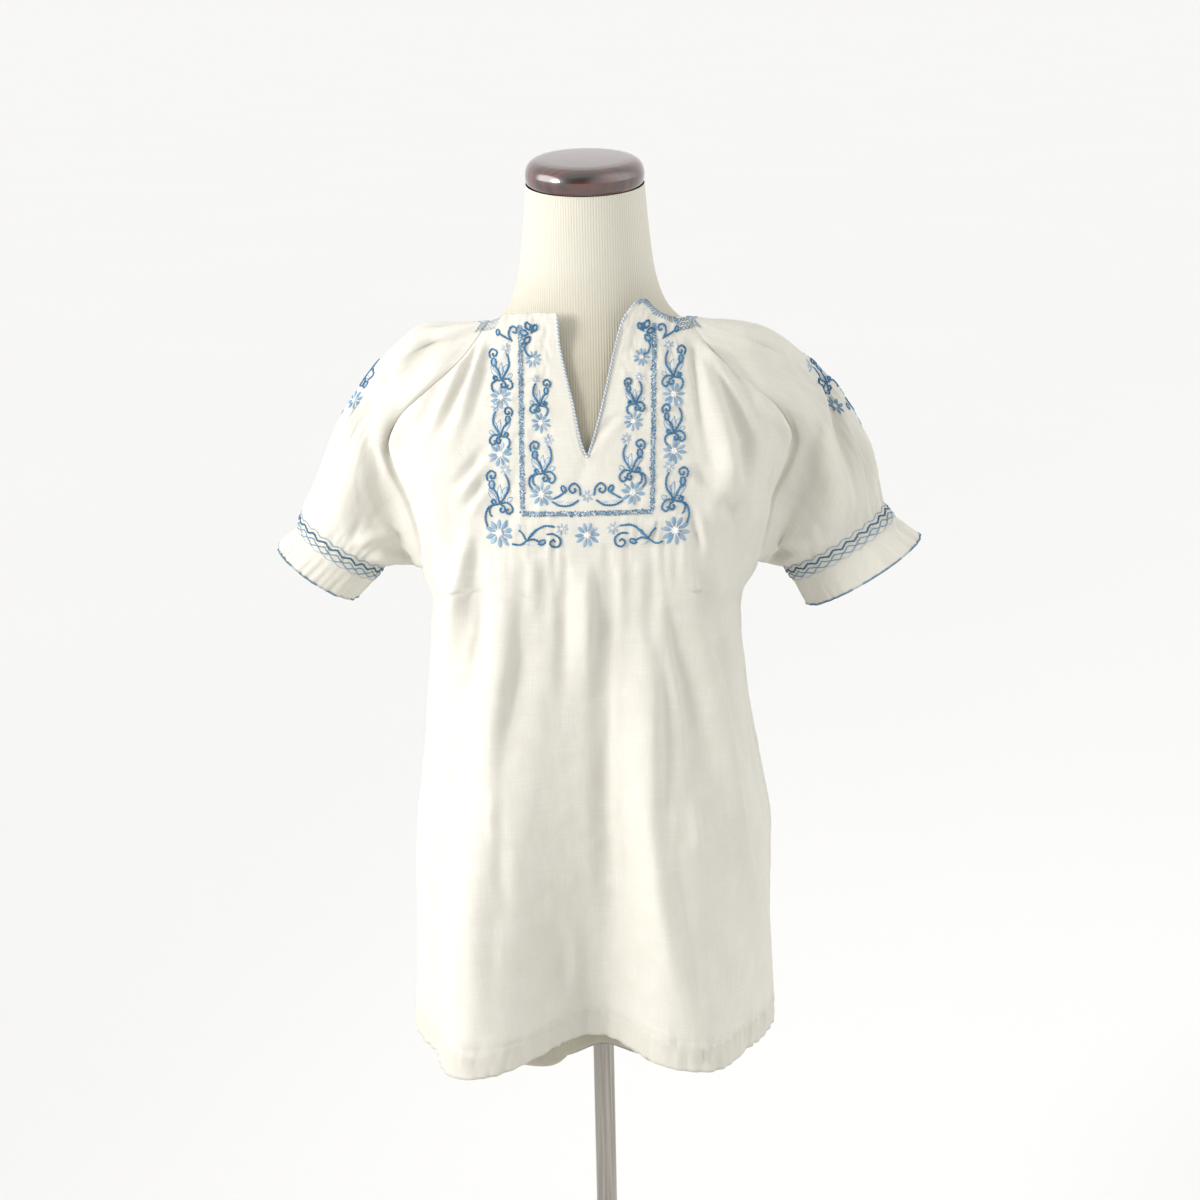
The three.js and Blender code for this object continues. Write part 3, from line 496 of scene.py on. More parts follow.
def panel_half_angle(z, is_back):
    """Angle from a panel's middle to its seam: the side seam, and the raglan seam above it."""
    raglan = angle_at_reach(row_at(RAGLAN, z)["reach"], seam_height(z, is_back))
    return np.where(z <= UNDERARM_Z, np.pi / 2, raglan)


def edge_angle(z, side, is_back):
    """Angle of a panel's seam on one side, from the front."""
    half = panel_half_angle(z, is_back)
    return side * (np.pi - half if is_back else half)


def neckline(degrees):
    """Height of the neck's seam around the body."""
    is_back = np.abs(degrees) > 90
    top = np.array(float(NECK_SEAM_Z))
    front_share = np.minimum(np.abs(degrees) / np.degrees(panel_half_angle(top, False)), 1)
    back_share = np.minimum(np.abs(turn(degrees, 180)) / np.degrees(panel_half_angle(top, True)), 1)
    right = NECK_RIGHT_LIFT * np.minimum((1 - front_share) / NECK_LIP_SHARE, 1) ** 3.2
    left = NECK_LEFT_LIFT * (1 - front_share**6)
    front = NECK_SEAM_Z + np.where(degrees > 0, right, left)
    back = NECK_BACK_Z + (NECK_BACK_SEAM_Z - NECK_BACK_Z) * back_share
    return np.where(is_back, back, front)


def grid_height(z, degrees):
    """Height of a grid point: the rows rise at the hem's front and are fitted under the neckline."""
    rise = HEM_RISE * bump(turn(degrees, HEM_RISE_ANGLE) / HEM_RISE_SPREAD)
    skirt = z + rise * (UNDERARM_Z - z) / (UNDERARM_Z - HEM_Z)
    share = (z - SLIT_FOOT_Z) / (NECK_SEAM_Z - SLIT_FOOT_Z)
    yoke = SLIT_FOOT_Z + (neckline(degrees) - SLIT_FOOT_Z) * share
    return np.where(z <= UNDERARM_Z, skirt, np.where(z <= SLIT_FOOT_Z, z, yoke))


def slit_reach(z, side):
    """How far each lip of the open slit stands from its foot's line."""
    return row_at(SLIT_LIPS, z)["left" if side < 0 else "right"] * (z > SLIT_FOOT_Z)


# ------------------------------------------------------------------ meshes
def make_object(name, points, faces, uvs, tints, material, slot=None):
    """A smooth mesh object; points are in millimetres, and with a slot it rides the body root."""
    mesh = bpy.data.meshes.new(name)
    points = np.asarray(points, float).reshape(-1, 3) * MM
    faces = np.asarray(faces, np.int32)
    mesh.vertices.add(len(points))
    mesh.vertices.foreach_set("co", points.ravel())
    mesh.loops.add(faces.size)
    mesh.loops.foreach_set("vertex_index", faces.ravel())
    mesh.polygons.add(len(faces))
    mesh.polygons.foreach_set("loop_start", np.arange(0, faces.size, faces.shape[1], dtype=np.int32))
    if uvs is not None:
        layer = mesh.uv_layers.new(name="flat")
        layer.data.foreach_set("uv", np.asarray(uvs, float).reshape(-1, 2)[faces.ravel()].ravel())
    if tints is not None:
        layer = mesh.color_attributes.new("tint", "FLOAT_COLOR", "POINT")
        rgba = np.ones((len(points), 4))
        rgba[:, :3] = tints
        layer.data.foreach_set("color", rgba.ravel())
    mesh.update(calc_edges=True)
    mesh.validate()
    mesh.polygons.foreach_set("use_smooth", np.ones(len(mesh.polygons), bool))
    piece = bpy.data.objects.new(name, mesh)
    bpy.context.scene.collection.objects.link(piece)
    mesh.materials.append(material)
    if slot is not None:
        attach(piece, "root")
    return piece


def quads_of(index):
    """Quads between the neighbours in a grid of point numbers."""
    corners = index[:-1, :-1], index[:-1, 1:], index[1:, 1:], index[1:, :-1]
    return np.stack(corners, axis=-1).reshape(-1, 4)


def grid_quads(rows, columns, closed=False, start=0):
    """Quads of a grid; closed joins the last column to the first."""
    index = np.arange(rows * columns).reshape(rows, columns) + start
    if closed:
        index = np.concatenate([index, index[:, :1]], axis=1)
    return quads_of(index)


def surface_normals(points, quads):
    """Normals of the points, each the sum over its quads."""
    normals = np.zeros(points.shape)
    a, b, c, d = (points[quads[:, corner]] for corner in range(4))
    facing = np.cross(c - a, d - b)
    for corner in range(4):
        np.add.at(normals, quads[:, corner], facing)
    return unit(normals)


def make_cloth(replaced, points, quads, flat, doubled_shade, material):
    """A cotton piece: the outside surface, its copy one thickness further in, and the rims.

    flat holds its places on the flat cloth in mm; the mask before the material is 1 where the cloth lies
    double, and there the cotton finish paints shade.
    """
    count = len(points)
    inner = points - surface_normals(points, quads) * CLOTH
    begin = quads.ravel()
    end = np.roll(quads, -1, axis=1).ravel()
    is_rim = ~np.isin(begin.astype(np.int64) * count + end, end.astype(np.int64) * count + begin)
    begin, end = begin[is_rim], end[is_rim]
    rims = np.stack([begin, begin + count, end + count, end], axis=-1)
    faces = np.concatenate([quads, quads[:, ::-1] + count, rims])
    tints = np.repeat(np.tile(doubled_shade, 2)[:, None], 3, axis=1)
    piece = make_object(replaced + "_cotton", np.concatenate([points, inner]), faces,
                        np.tile(flat, (2, 1)) * MM, tints, material, "cotton")
    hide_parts(replaced)
    return piece


# ------------------------------------------------------------------ body panels
BODY_ROWS_Z = np.concatenate([
    np.linspace(HEM_Z, SLIT_FOOT_Z, SKIRT_ROWS),
    np.linspace(SLIT_FOOT_Z, NECK_SEAM_Z, YOKE_ROWS)[1:],
])
SLIT_ROW = SKIRT_ROWS - 1
YOKE_INSIDE = (84, 104)      # the yoke's gathers fade out sideways between these reaches
YOKE_BORDER = (30, 36)       # and its worked puckers start between these
ROLL_FADE_Z = (1225, 1262)   # the roll beside the armhole ends between these heights
SEAM_GATHERED_Z = (1215, 1250)   # above these the gathers hide the seam's stitching
LIP_CURL = 4.0               # the slit's right lip curls forward this much, from this height up
LIP_CURL_Z = 1290


def hem_relief(girth, z, base):
    """The turned-up hem: a step of doubled cloth, its stitch line and its small puckers."""
    above = z - base
    step = 0.9 * (1 - smoothstep(HEM_TURN - 1, HEM_TURN + 1.5, above))
    stitch = -1.5 * bump((above - HEM_TURN) / 3.0)
    pucker = 1.5 * pleats(girth, 9.0, 0.7) * bump((above - HEM_TURN * 0.8) / 26)
    flare = 1.4 * pleats(girth, 17.0, 2.1) * (1 - smoothstep(0, HEM_TURN, above))
    return step + stitch + pucker + flare


def yoke_relief(x, z):
    """Small gathers under the yoke's edge, and the tight puckers of its embroidered foot."""
    across = np.abs(x - SLIT_FOOT_X)
    inside = 1 - smoothstep(*YOKE_INSIDE, across)
    below = np.where(z < YOKE_FOOT_Z, bump((YOKE_FOOT_Z - z) / 74), bump((z - YOKE_FOOT_Z) / 8))
    gathers = 0.8 * pleats(x, 17.5, 1.9) * below * inside
    gathers += 0.45 * pleats(x, 8.3, 0.6) * bump((YOKE_FOOT_Z - z) / 22) * inside
    foot = 0.8 * pleats(x, 5.2, 0.4) * bump((z - (YOKE_FOOT_Z + LATTICE_Z) / 2) / 24) * inside
    edge = -0.55 * bump((z - YOKE_FOOT_Z) / 4) * inside
    worked = inside * smoothstep(*YOKE_BORDER, across) * smoothstep(YOKE_FOOT_Z, YOKE_FOOT_Z + 8, z)
    pucker = 1.1 * worked * crumple(3.2 * x, 3.0 * z, 5.1)
    return gathers + foot + edge + pucker


def seam_distance(points):
    """Distance in mm of each grid point from the last column, along its row."""
    return way_along(points[:, ::-1], axis=1)[:, ::-1]


def seam_relief(distance, z):
    """Cloth rising from the stitching of a seam; near the neck the gathers hide it."""
    return 0.5 * (1 - bell(distance / 3.2)) * (1 - 0.85 * smoothstep(*SEAM_GATHERED_Z, z))


def armhole_relief(relief, distance, z, roll, full_z, middle, spread, ease):
    """Adds the roll beside the armhole, which is full from full_z up, and flattens all at the seam.

    The roll's middle lies that far from the seam; ease is where the relief comes back to its strength.
    """
    shoulder = smoothstep(UNDERARM_Z, full_z, z) * (1 - smoothstep(*ROLL_FADE_Z, z))
    relief = relief + roll * shoulder * bump((distance - middle) / spread)
    return relief * (1 - bell(distance / ease)) + seam_relief(distance, z)


def side_relief(points, facing):
    """Creases of the flanks, where the cloth faces neither the front nor the back."""
    return SIDE_DEPTH * (1 - facing) * crease_height(points[..., 1], points[..., 2], SIDE_CREASES)


def front_half(side):
    """Half of the front as a grid, from the slit or the middle out to the seam."""
    z = BODY_ROWS_Z[:, None]
    share = np.linspace(0, 1, HALF_COLUMNS)[None, :]
    inner = angle_at_reach(side * SLIT_FOOT_X + slit_reach(z, side), z)
    angle = side * (inner + (panel_half_angle(z, False) - inner) * share)
    degrees = np.degrees(angle)
    height = grid_height(z, degrees)
    points = body_point(angle, height)
    normals = body_normal(angle, height)
    distance = seam_distance(points)
    x, up = points[..., 0], points[..., 2]
    facing = smoothstep(0.12, 0.4, -normals[..., 1])
    depth = SKIRT_DEPTH + (CHEST_DEPTH - SKIRT_DEPTH) * smoothstep(1030, 1120, up)
    relief = facing * crease_height(x, up, FRONT_CREASES) * depth
    relief += side_relief(points, facing)
    relief += facing * yoke_relief(x, up)
    from_middle = distance[:, :1] - distance
    girth = side * from_middle
    relief += 0.55 * crumple(x + 0.3 * points[..., 1], up, 1.7)
    relief += hem_relief(girth, up, grid_height(HEM_Z, degrees))
    relief = armhole_relief(relief, distance, up, roll=5.5, full_z=1112, middle=12, spread=14, ease=3)
    in_lip = (z > SLIT_FOOT_Z) & (share < 0.5)
    relief += 0.5 * in_lip * bell(from_middle / 2.4)
    points = points + normals * relief[..., None]
    if side > 0:
        points[..., 1] -= LIP_CURL * smoothstep(LIP_CURL_Z, NECK_SEAM_Z, z) * bell(from_middle / 22)
    return points, stack(girth, z)


def in_hem(z):
    """How double the cloth lies: 1 in the turned-up hem, 0 above it."""
    return 1 - smoothstep(HEM_TURN - 0.8, HEM_TURN + 0.8, z - HEM_Z)


def blouse_front(material):
    """Both halves of the front, joined below the slit: the piece and its two grids."""
    grids, flats = zip(front_half(-1), front_half(1))
    rows = len(BODY_ROWS_Z)
    left_index = np.arange(rows * HALF_COLUMNS).reshape(rows, HALF_COLUMNS)
    right_index = left_index + rows * HALF_COLUMNS
    right_index[:SLIT_ROW + 1, 0] = left_index[:SLIT_ROW + 1, 0]
    quads = np.concatenate([quads_of(left_index)[:, ::-1], quads_of(right_index)])
    used, packed = np.unique(quads, return_inverse=True)
    points = np.concatenate([grid.reshape(-1, 3) for grid in grids])[used]
    flat = np.concatenate([part.reshape(-1, 2) for part in flats])[used]
    quads = packed.reshape(quads.shape)
    piece = make_cloth("blouse_front", points, quads, flat, in_hem(flat[:, 1]), material)
    return piece, grids


def blouse_back(material):
    """The back in one grid from its right seam to its left one: the piece and the grid."""
    z = BODY_ROWS_Z[:, None]
    share = np.linspace(0, 1, BACK_COLUMNS)[None, :]
    half = panel_half_angle(z, True)
    angle = np.pi - half + 2 * half * share
    degrees = turn(np.degrees(angle), 0)
    height = grid_height(z, degrees)
    points = body_point(angle, height)
    normals = body_normal(angle, height)
    to_left = seam_distance(points)
    to_right = to_left[:, :1] - to_left
    distance = np.minimum(to_left, to_right)
    x, up = points[..., 0], points[..., 2]
    facing = smoothstep(0.25, 0.6, normals[..., 1])
    relief = BACK_DEPTH * facing * crease_height(x, up, BACK_CREASES)
    relief += side_relief(points, facing)
    girth = to_left - to_left[:, :1] / 2
    relief += 0.6 * crumple(x, up, 4.2)
    relief += hem_relief(girth, up, grid_height(HEM_Z, degrees))
    from_neck = neckline(degrees) - up
    relief += 1.7 * pleats(x, 7.5, 2.6) * bump(from_neck / 62) * smoothstep(-2, 8, from_neck)
    relief = armhole_relief(relief, distance, up, roll=4.0, full_z=1130, middle=13, spread=15, ease=4)
    points = points + normals * relief[..., None]
    flat = stack(girth, z).reshape(-1, 2)
    quads = grid_quads(len(BODY_ROWS_Z), BACK_COLUMNS)
    piece = make_cloth("blouse_back", points.reshape(-1, 3), quads, flat, in_hem(flat[:, 1]), material)
    return piece, points


# ------------------------------------------------------------------ sleeves
SIDE_NAMES = {-1: "left", 1: "right"}
SEAM_RIM_STEPS = 58          # rim points from the underarm to the neck, in front and behind
NECK_RIM_STEPS = 66          # and over the shoulder, along the neck
GIRTH_PER_DEGREE = 0.72      # a mean width of cloth for each degree around, in mm
FULL_GIRTH = 1.4             # how much wider the flat cloth is than that
ARMHOLE_SINK = 4.5           # how deep the sleeve sinks in beside the front of its seam


def section_points(sections, side, around):
    """Points of every section at the angles around (degrees): sections, then angles."""
    angle = np.radians(around)[None, :]
    outer = stack(side * sections["outerX"], 0, sections["outerZ"])
    inner = stack(side * sections["innerX"], 0, sections["innerZ"])
    middle = ((outer + inner) / 2)[:, None]
    up = ((outer - inner) / 2)[:, None]
    depth = np.where(np.sin(angle) >= 0, sections["front"][:, None], sections["back"][:, None])
    points = middle + up * np.cos(angle)[..., None]
    points[..., 1] -= depth * np.sin(angle)
    return points


def sleeve_rim(side, sections):
    """The sleeve's seam with the body, around from the underarm: points, angles and frames."""
    z = np.linspace(UNDERARM_Z, NECK_SEAM_Z, SEAM_RIM_STEPS)
    stretches = {}
    for is_back in (False, True):
        points = body_point(edge_angle(z, side, is_back), seam_height(z, is_back))
        normals = body_normal(edge_angle(z, side, is_back), seam_height(z, is_back))
        around = row_at(RAGLAN, z)["around"] * (-1 if is_back else 1)
        stretches[is_back] = (points, normals, around)
    share = np.linspace(0, 1, NECK_RIM_STEPS + 1)[1:-1, None]
    first, last = stretches[False][0][-1], stretches[True][0][-1]
    shoulder = first + (last - first) * share
    shoulder[:, 0] += side * 4 * NECK_EDGE_BOW * (share * (1 - share))[:, 0]
    ends = stretches[False][2][-1], stretches[True][2][-1]
    shoulder_around = ends[0] + (ends[1] - ends[0]) * share[:, 0]
    pieces = []
    for points, normals, around in (
        stretches[False], (shoulder, None, shoulder_around),
        tuple(part[::-1] for part in stretches[True]),
    ):
        away = unit(section_points(sections, side, around)[0] - points)
        sleeve_normal = unit(np.cross(away, np.gradient(points, axis=0)) * side)
        normal = unit(sleeve_normal + (sleeve_normal if normals is None else normals))
        pieces.append((points, around, normal))
    points, around, normal = (np.concatenate(parts)[:-1] for parts in zip(*pieces))
    return points, around, normal


def spaced_curve(controls, count):
    """Centripetal curves through the controls (controls, curves, 3), read at equal steps."""
    first = 2 * controls[:1] - controls[1:2]
    last = 2 * controls[-1:] - controls[-2:-1]
    padded = np.concatenate([first, controls, last])
    knots = np.sqrt(np.linalg.norm(np.diff(padded, axis=0), axis=-1, keepdims=True))
    t = np.linspace(0, 1, 24, endpoint=False)[:, None, None]
    dense = []
    for index in range(len(controls) - 1):
        a, b, c, d = padded[index:index + 4]
        ka, kb, kc = knots[index:index + 3]
        leave = kb * ((b - a) / ka - (c - a) / (ka + kb) + (c - b) / kb)
        arrive = kb * ((c - b) / kb - (d - b) / (kb + kc) + (d - c) / kc)
        dense.append((2 * t**3 - 3 * t**2 + 1) * b + (t**3 - 2 * t**2 + t) * leave
                     + (3 * t**2 - 2 * t**3) * c + (t**3 - t**2) * arrive)
    dense = np.concatenate([*dense, controls[-1:]])
    length = way_along(dense)
    result = np.empty((count, controls.shape[1], 3))
    for curve in range(controls.shape[1]):
        places = np.linspace(0, length[-1, curve], count)
        for axis in range(3):
            result[:, curve, axis] = np.interp(places, length[:, curve], dense[:, curve, axis])
    return result


def sleeve_fold_height(around, share):
    """The sleeve's fullness at the angles around and the shares of its length."""
    height = 0
    for angle, spread, peak, rise in SLEEVE_FOLDS:
        along = bump((share - peak) / np.where(share < peak, peak, 1 - peak))
        height = height + rise * bump(turn(around, angle) / spread) * along
    return height


def sleeve(side, material):
    """One sleeve: rows from the seam to the frill's edge, columns around from the underarm.

    Gives the piece, its grid and the angles of its columns.
    """
    sections = SLEEVES[side]
    rim, around, rim_normal = sleeve_rim(side, sections)
    stations = section_points(sections, side, around)
    arch = (rim + stations[0]) / 2
    rise = SHOULDER_ARCH[side] * np.linalg.norm(rim - stations[0], axis=1)
    rise = rise * np.sqrt(np.maximum(0, np.cos(np.radians(around))))
    arch = arch + rim_normal * rise[:, None]
    upper = spaced_curve(np.stack([rim, arch, *stations[:BAND_START + 1]]), SLEEVE_LENGTH_ROWS)
    points = [upper]
    for count, top, foot in zip((BAND_ROWS, FRILL_ROWS), stations[BAND_START:], stations[BAND_START + 1:]):
        points.append(top + (foot - top) * np.linspace(0, 1, count + 1)[1:, None, None])
    points = np.concatenate(points)
    wrapped = np.concatenate([points[:, -2:], points, points[:, :2]], axis=1)
    normals = grid_normals(wrapped)[:, 2:-2] * -side
    length = way_along(points)
    row = np.arange(len(points))[:, None]
    band_row = row - SLEEVE_LENGTH_ROWS + 1
    share = np.minimum(row / (SLEEVE_LENGTH_ROWS - 1), 1)
    in_band = np.clip(band_row / BAND_ROWS, 0, 1)
    in_frill = np.clip((band_row - BAND_ROWS) / FRILL_ROWS, 0, 1)
    ring = np.broadcast_to(around, points.shape[:2])
    girth = ring * GIRTH_PER_DEGREE
    relief = sleeve_fold_height(ring, share)
    relief += 0.5 * crumple(girth, length, 3.1 + side) * (1 - in_band)
    to_band = length[SLEEVE_LENGTH_ROWS - 1] - length
    relief += SLEEVE_DEPTH * crease_height(ring, to_band, SLEEVE_CREASES[side]) * (1 - in_band)
    near_neck = bump(turn(ring, 0) / 40)
    gathers = (   # height, pitch and seed of each set, and where it is
        (1.1, 7.0, 1.2 + side, bump(to_band / 34) * (share < 1)),
        (0.9, 4.6, 0.5, bump((in_band - 0.5) / 0.62) * (share == 1)),
        (1.5, 8.6, 2.2 - side, in_frill**0.6),
        (0.5, 4.1, 1.2, bump((in_frill - 0.15) / 0.4)),
        (1.0, 1.5, 0.9, near_neck * bump((length - 8) / 22) * smoothstep(0, 5, length)),
        (2.2, 3.3, 1.7, near_neck * bump((length - 22) / 40) * smoothstep(0, 9, length)),
        (2.0, 6.4, 2.9 + side, near_neck * bump((length - 44) / 54)),
    )
    for height, pitch, seed, where in gathers:
        relief += height * pleats(girth, pitch, seed) * where
    low_seam = 1 - 0.7 * smoothstep(1215, 1275, points[..., 2])
    relief -= ARMHOLE_SINK * bump((ring - 104) / 66) * bump((length - 5) / 8) * low_seam
    relief = relief * (1 - bell(length / 4)) + seam_relief(length, points[..., 2])
    points = points + normals * relief[..., None]
    quads = grid_quads(*points.shape[:2], closed=True)
    if side > 0:
        quads = quads[:, ::-1]
    flat = stack(girth * FULL_GIRTH, length).reshape(-1, 2)
    piece = make_cloth("sleeve_" + SIDE_NAMES[side], points.reshape(-1, 3), quads, flat,
                       np.zeros(len(flat)), material)
    return piece, points, around


# ------------------------------------------------------------------ dress form and stand
FORM_COLUMNS = 160
FORM_RINGS = 150
RIM_RISE = 0.8               # share of the cleft's rise that the form's lowest ring takes
# Rings under the form: share of the rim's reach, and lift in mm.
UNDERSIDE = ((0.1, 0), (0.3, 0), (0.5, 0), (0.7, 0), (0.84, 0.6), (0.93, 2.4), (0.985, 5))
LATHE_STEPS = 96
AXIS = 0.01                  # the radius at which a turned piece closes
ROUNDING = 2.0               # how far the corners of a turned piece are rounded, in mm,
ROUNDING_SHARE = 0.35        # but at most this share of the way to the next corner
ROUNDING_STEPS = 4


def form_ring(z, angle):
    """Points round the form, with the groove of the cleft, tilting towards the neck's end."""
    row = row_at(FORM, z)
    across, along = np.sin(angle), np.cos(angle)
    depth = np.where(along >= 0, row["front"], row["back"])
    shape = 2 / row["power"]
    x = row["side"] * signed_power(across, shape)
    groove = row["cleft"] * bell(x / CLEFT_WIDTH)
    y = -(depth - groove) * signed_power(along, shape)
    return stack(x, y, z + row["tilt"] * math.tan(CAP_TILT) * y)


def dress_form(material):
    """The limbless torso with its neck, closed underneath, with a cleft between the legs."""
    angle = np.linspace(-np.pi, np.pi, FORM_COLUMNS, endpoint=False)[None, :]
    z = np.linspace(FORM["z"][0], NECK_TOP_Z, FORM_RINGS)[:, None]
    outside = form_ring(z, angle)
    rim = outside[0]
    outside[0, :, 2] += RIM_RISE * (CLEFT_RISE * bell(rim[:, 0] / CLEFT_WIDTH))
    outside[1, :, 2] = np.maximum(outside[1, :, 2], outside[0, :, 2] + 1)
    share, lift = np.array(UNDERSIDE).T[..., None]
    x = rim[:, 0] * share
    under = stack(x, rim[:, 1] * share, FORM_BOTTOM_Z + lift + CLEFT_RISE * bell(x / CLEFT_WIDTH))
    points = np.concatenate([under, outside])
    girth = way_along(outside, axis=1)
    girth -= girth[:, FORM_COLUMNS // 2, None]
    girth = np.concatenate([np.repeat(girth[:1], len(under), axis=0), girth])
    flat = stack(girth, points[..., 2])
    quads = grid_quads(len(points), FORM_COLUMNS, closed=True)
    piece = make_object("form_torso_jersey", points, quads, flat * MM, None, material, "jersey")
    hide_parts("form_torso")
    return piece


def rounded(profile):
    """Rounds the corners of a profile, leaving its first and last points."""
    points = np.array(profile, float)
    result = [points[0]]
    for before, corner, after in zip(points[:-2], points[1:-1], points[2:]):
        start, end = (
            corner + (other - corner) * min(ROUNDING_SHARE, ROUNDING / np.linalg.norm(other - corner))
            for other in (before, after)
        )
        for t in np.linspace(0, 1, ROUNDING_STEPS):
            result.append((1 - t) ** 2 * start + 2 * t * (1 - t) * corner + t**2 * end)
    return np.array([*result, points[-1]])


def lathe(replaced, look, profile, material, slot):
    """A smooth turned piece; profile holds (radius, height) in millimetres."""
    radius, height = rounded(profile).T[..., None]
    angle = np.linspace(0, 2 * np.pi, LATHE_STEPS, endpoint=False)
    points = stack(radius * np.sin(angle), -radius * np.cos(angle), height)
    flat = stack(angle * radius.max(), height)
    quads = grid_quads(*points.shape[:2], closed=True)
    piece = make_object(f"{replaced}_{look}", points, quads, flat * MM, None, material, slot)
    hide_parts(replaced)
    return piece


def neck_cap(material):
    """A low dome with a rolled edge, tilted and centred in its box of the frame."""
    profile = [(AXIS, 0), (52, 0), (54.5, 0.4), (56.2, 3), (56.9, 8), (56.5, 13), (54.9, 17.5),
               (52, 21), (47.5, 23.4), (40, 24.4), (20, 24.9), (AXIS, 25)]
    mesh = lathe("neck_cap", "wood", profile, material, "cap_wood").data
    mesh.transform(Matrix.Rotation(CAP_TILT, 4, "X"))
    made = np.array([vertex.co[:] for vertex in mesh.vertices])
    low, high = (np.array(corner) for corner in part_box("neck_cap"))
    mesh.transform(Matrix.Translation(Vector((low + high) / 2 - (made.min(0) + made.max(0)) / 2)))


def turned_size(node):
    """Radius, foot and top of an upright turned part of the frame, in millimetres."""
    low, high = (np.array(corner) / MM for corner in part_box(node))
    return (high[0] - low[0]) / 2, low[2], high[2]


def pole(material):
    radius, foot, top = turned_size("pole")
    lathe("pole", "chrome", [(AXIS, foot), (radius, foot), (radius, top), (AXIS, top)], material, "chrome")


def stand_base(material):
    """A flat foot plate that rises to the socket of the pole."""
    radius, _, top = turned_size("stand_base")
    profile = [(AXIS, 0), (radius - 2, 0), (radius, 2), (radius, 7), (radius - 4, 11), (60, 15),
               (24, 20), (20, 24), (19, 48), (17, top), (11.35, top), (11.35, 9), (AXIS, 8.65)]
    lathe("stand_base", "chrome", profile, material, "chrome")


# ------------------------------------------------------------------ stitches
DEEP = (0.008, 0.125, 0.270)
MIDDLE = (0.030, 0.195, 0.375)
SKY = (0.170, 0.320, 0.450)
LIGHT = (0.345, 0.440, 0.550)
PALE = (0.550, 0.620, 0.670)
TEAL = (0.030, 0.120, 0.220)
SMOKE = (0.260, 0.370, 0.470)
WHITE = (0.800, 0.800, 0.780)
LEAF = (0.600, 0.645, 0.680)
STITCH = 0.55                # length of one step along a thread
TWIST = 2.6                  # length in which a thread's two plies change places
ROPE = 0.84                  # radius of the rope lines
BARB = 0.27                  # and of the barbs beside them
UPRIGHT = 1.57               # the angle of a bud that points up
dice = np.random.default_rng(7)


def shades(low, high):
    """A tint somewhere between two."""
    share = dice.random()
    return np.array(low) * (1 - share) + np.array(high) * share


def turned(x, z, angle, forward, sideways):
    """The place that lies forward and sideways of (x, z), seen along an angle."""
    ca, sa = math.cos(angle), math.sin(angle)
    return x + forward * ca - sideways * sa, z + forward * sa + sideways * ca


def smooth_path(points, step=STITCH):
    """An evenly stepped curve through a few points, given as (across, up) or in space."""
    points = np.array(points, float)
    if points.shape[1] == 2:
        points = np.column_stack([points, np.zeros(len(points))])
    length = np.linalg.norm(np.diff(points, axis=0), axis=1).sum()
    return spaced_curve(points[:, None], max(int(length / step), 4))[:, 0]


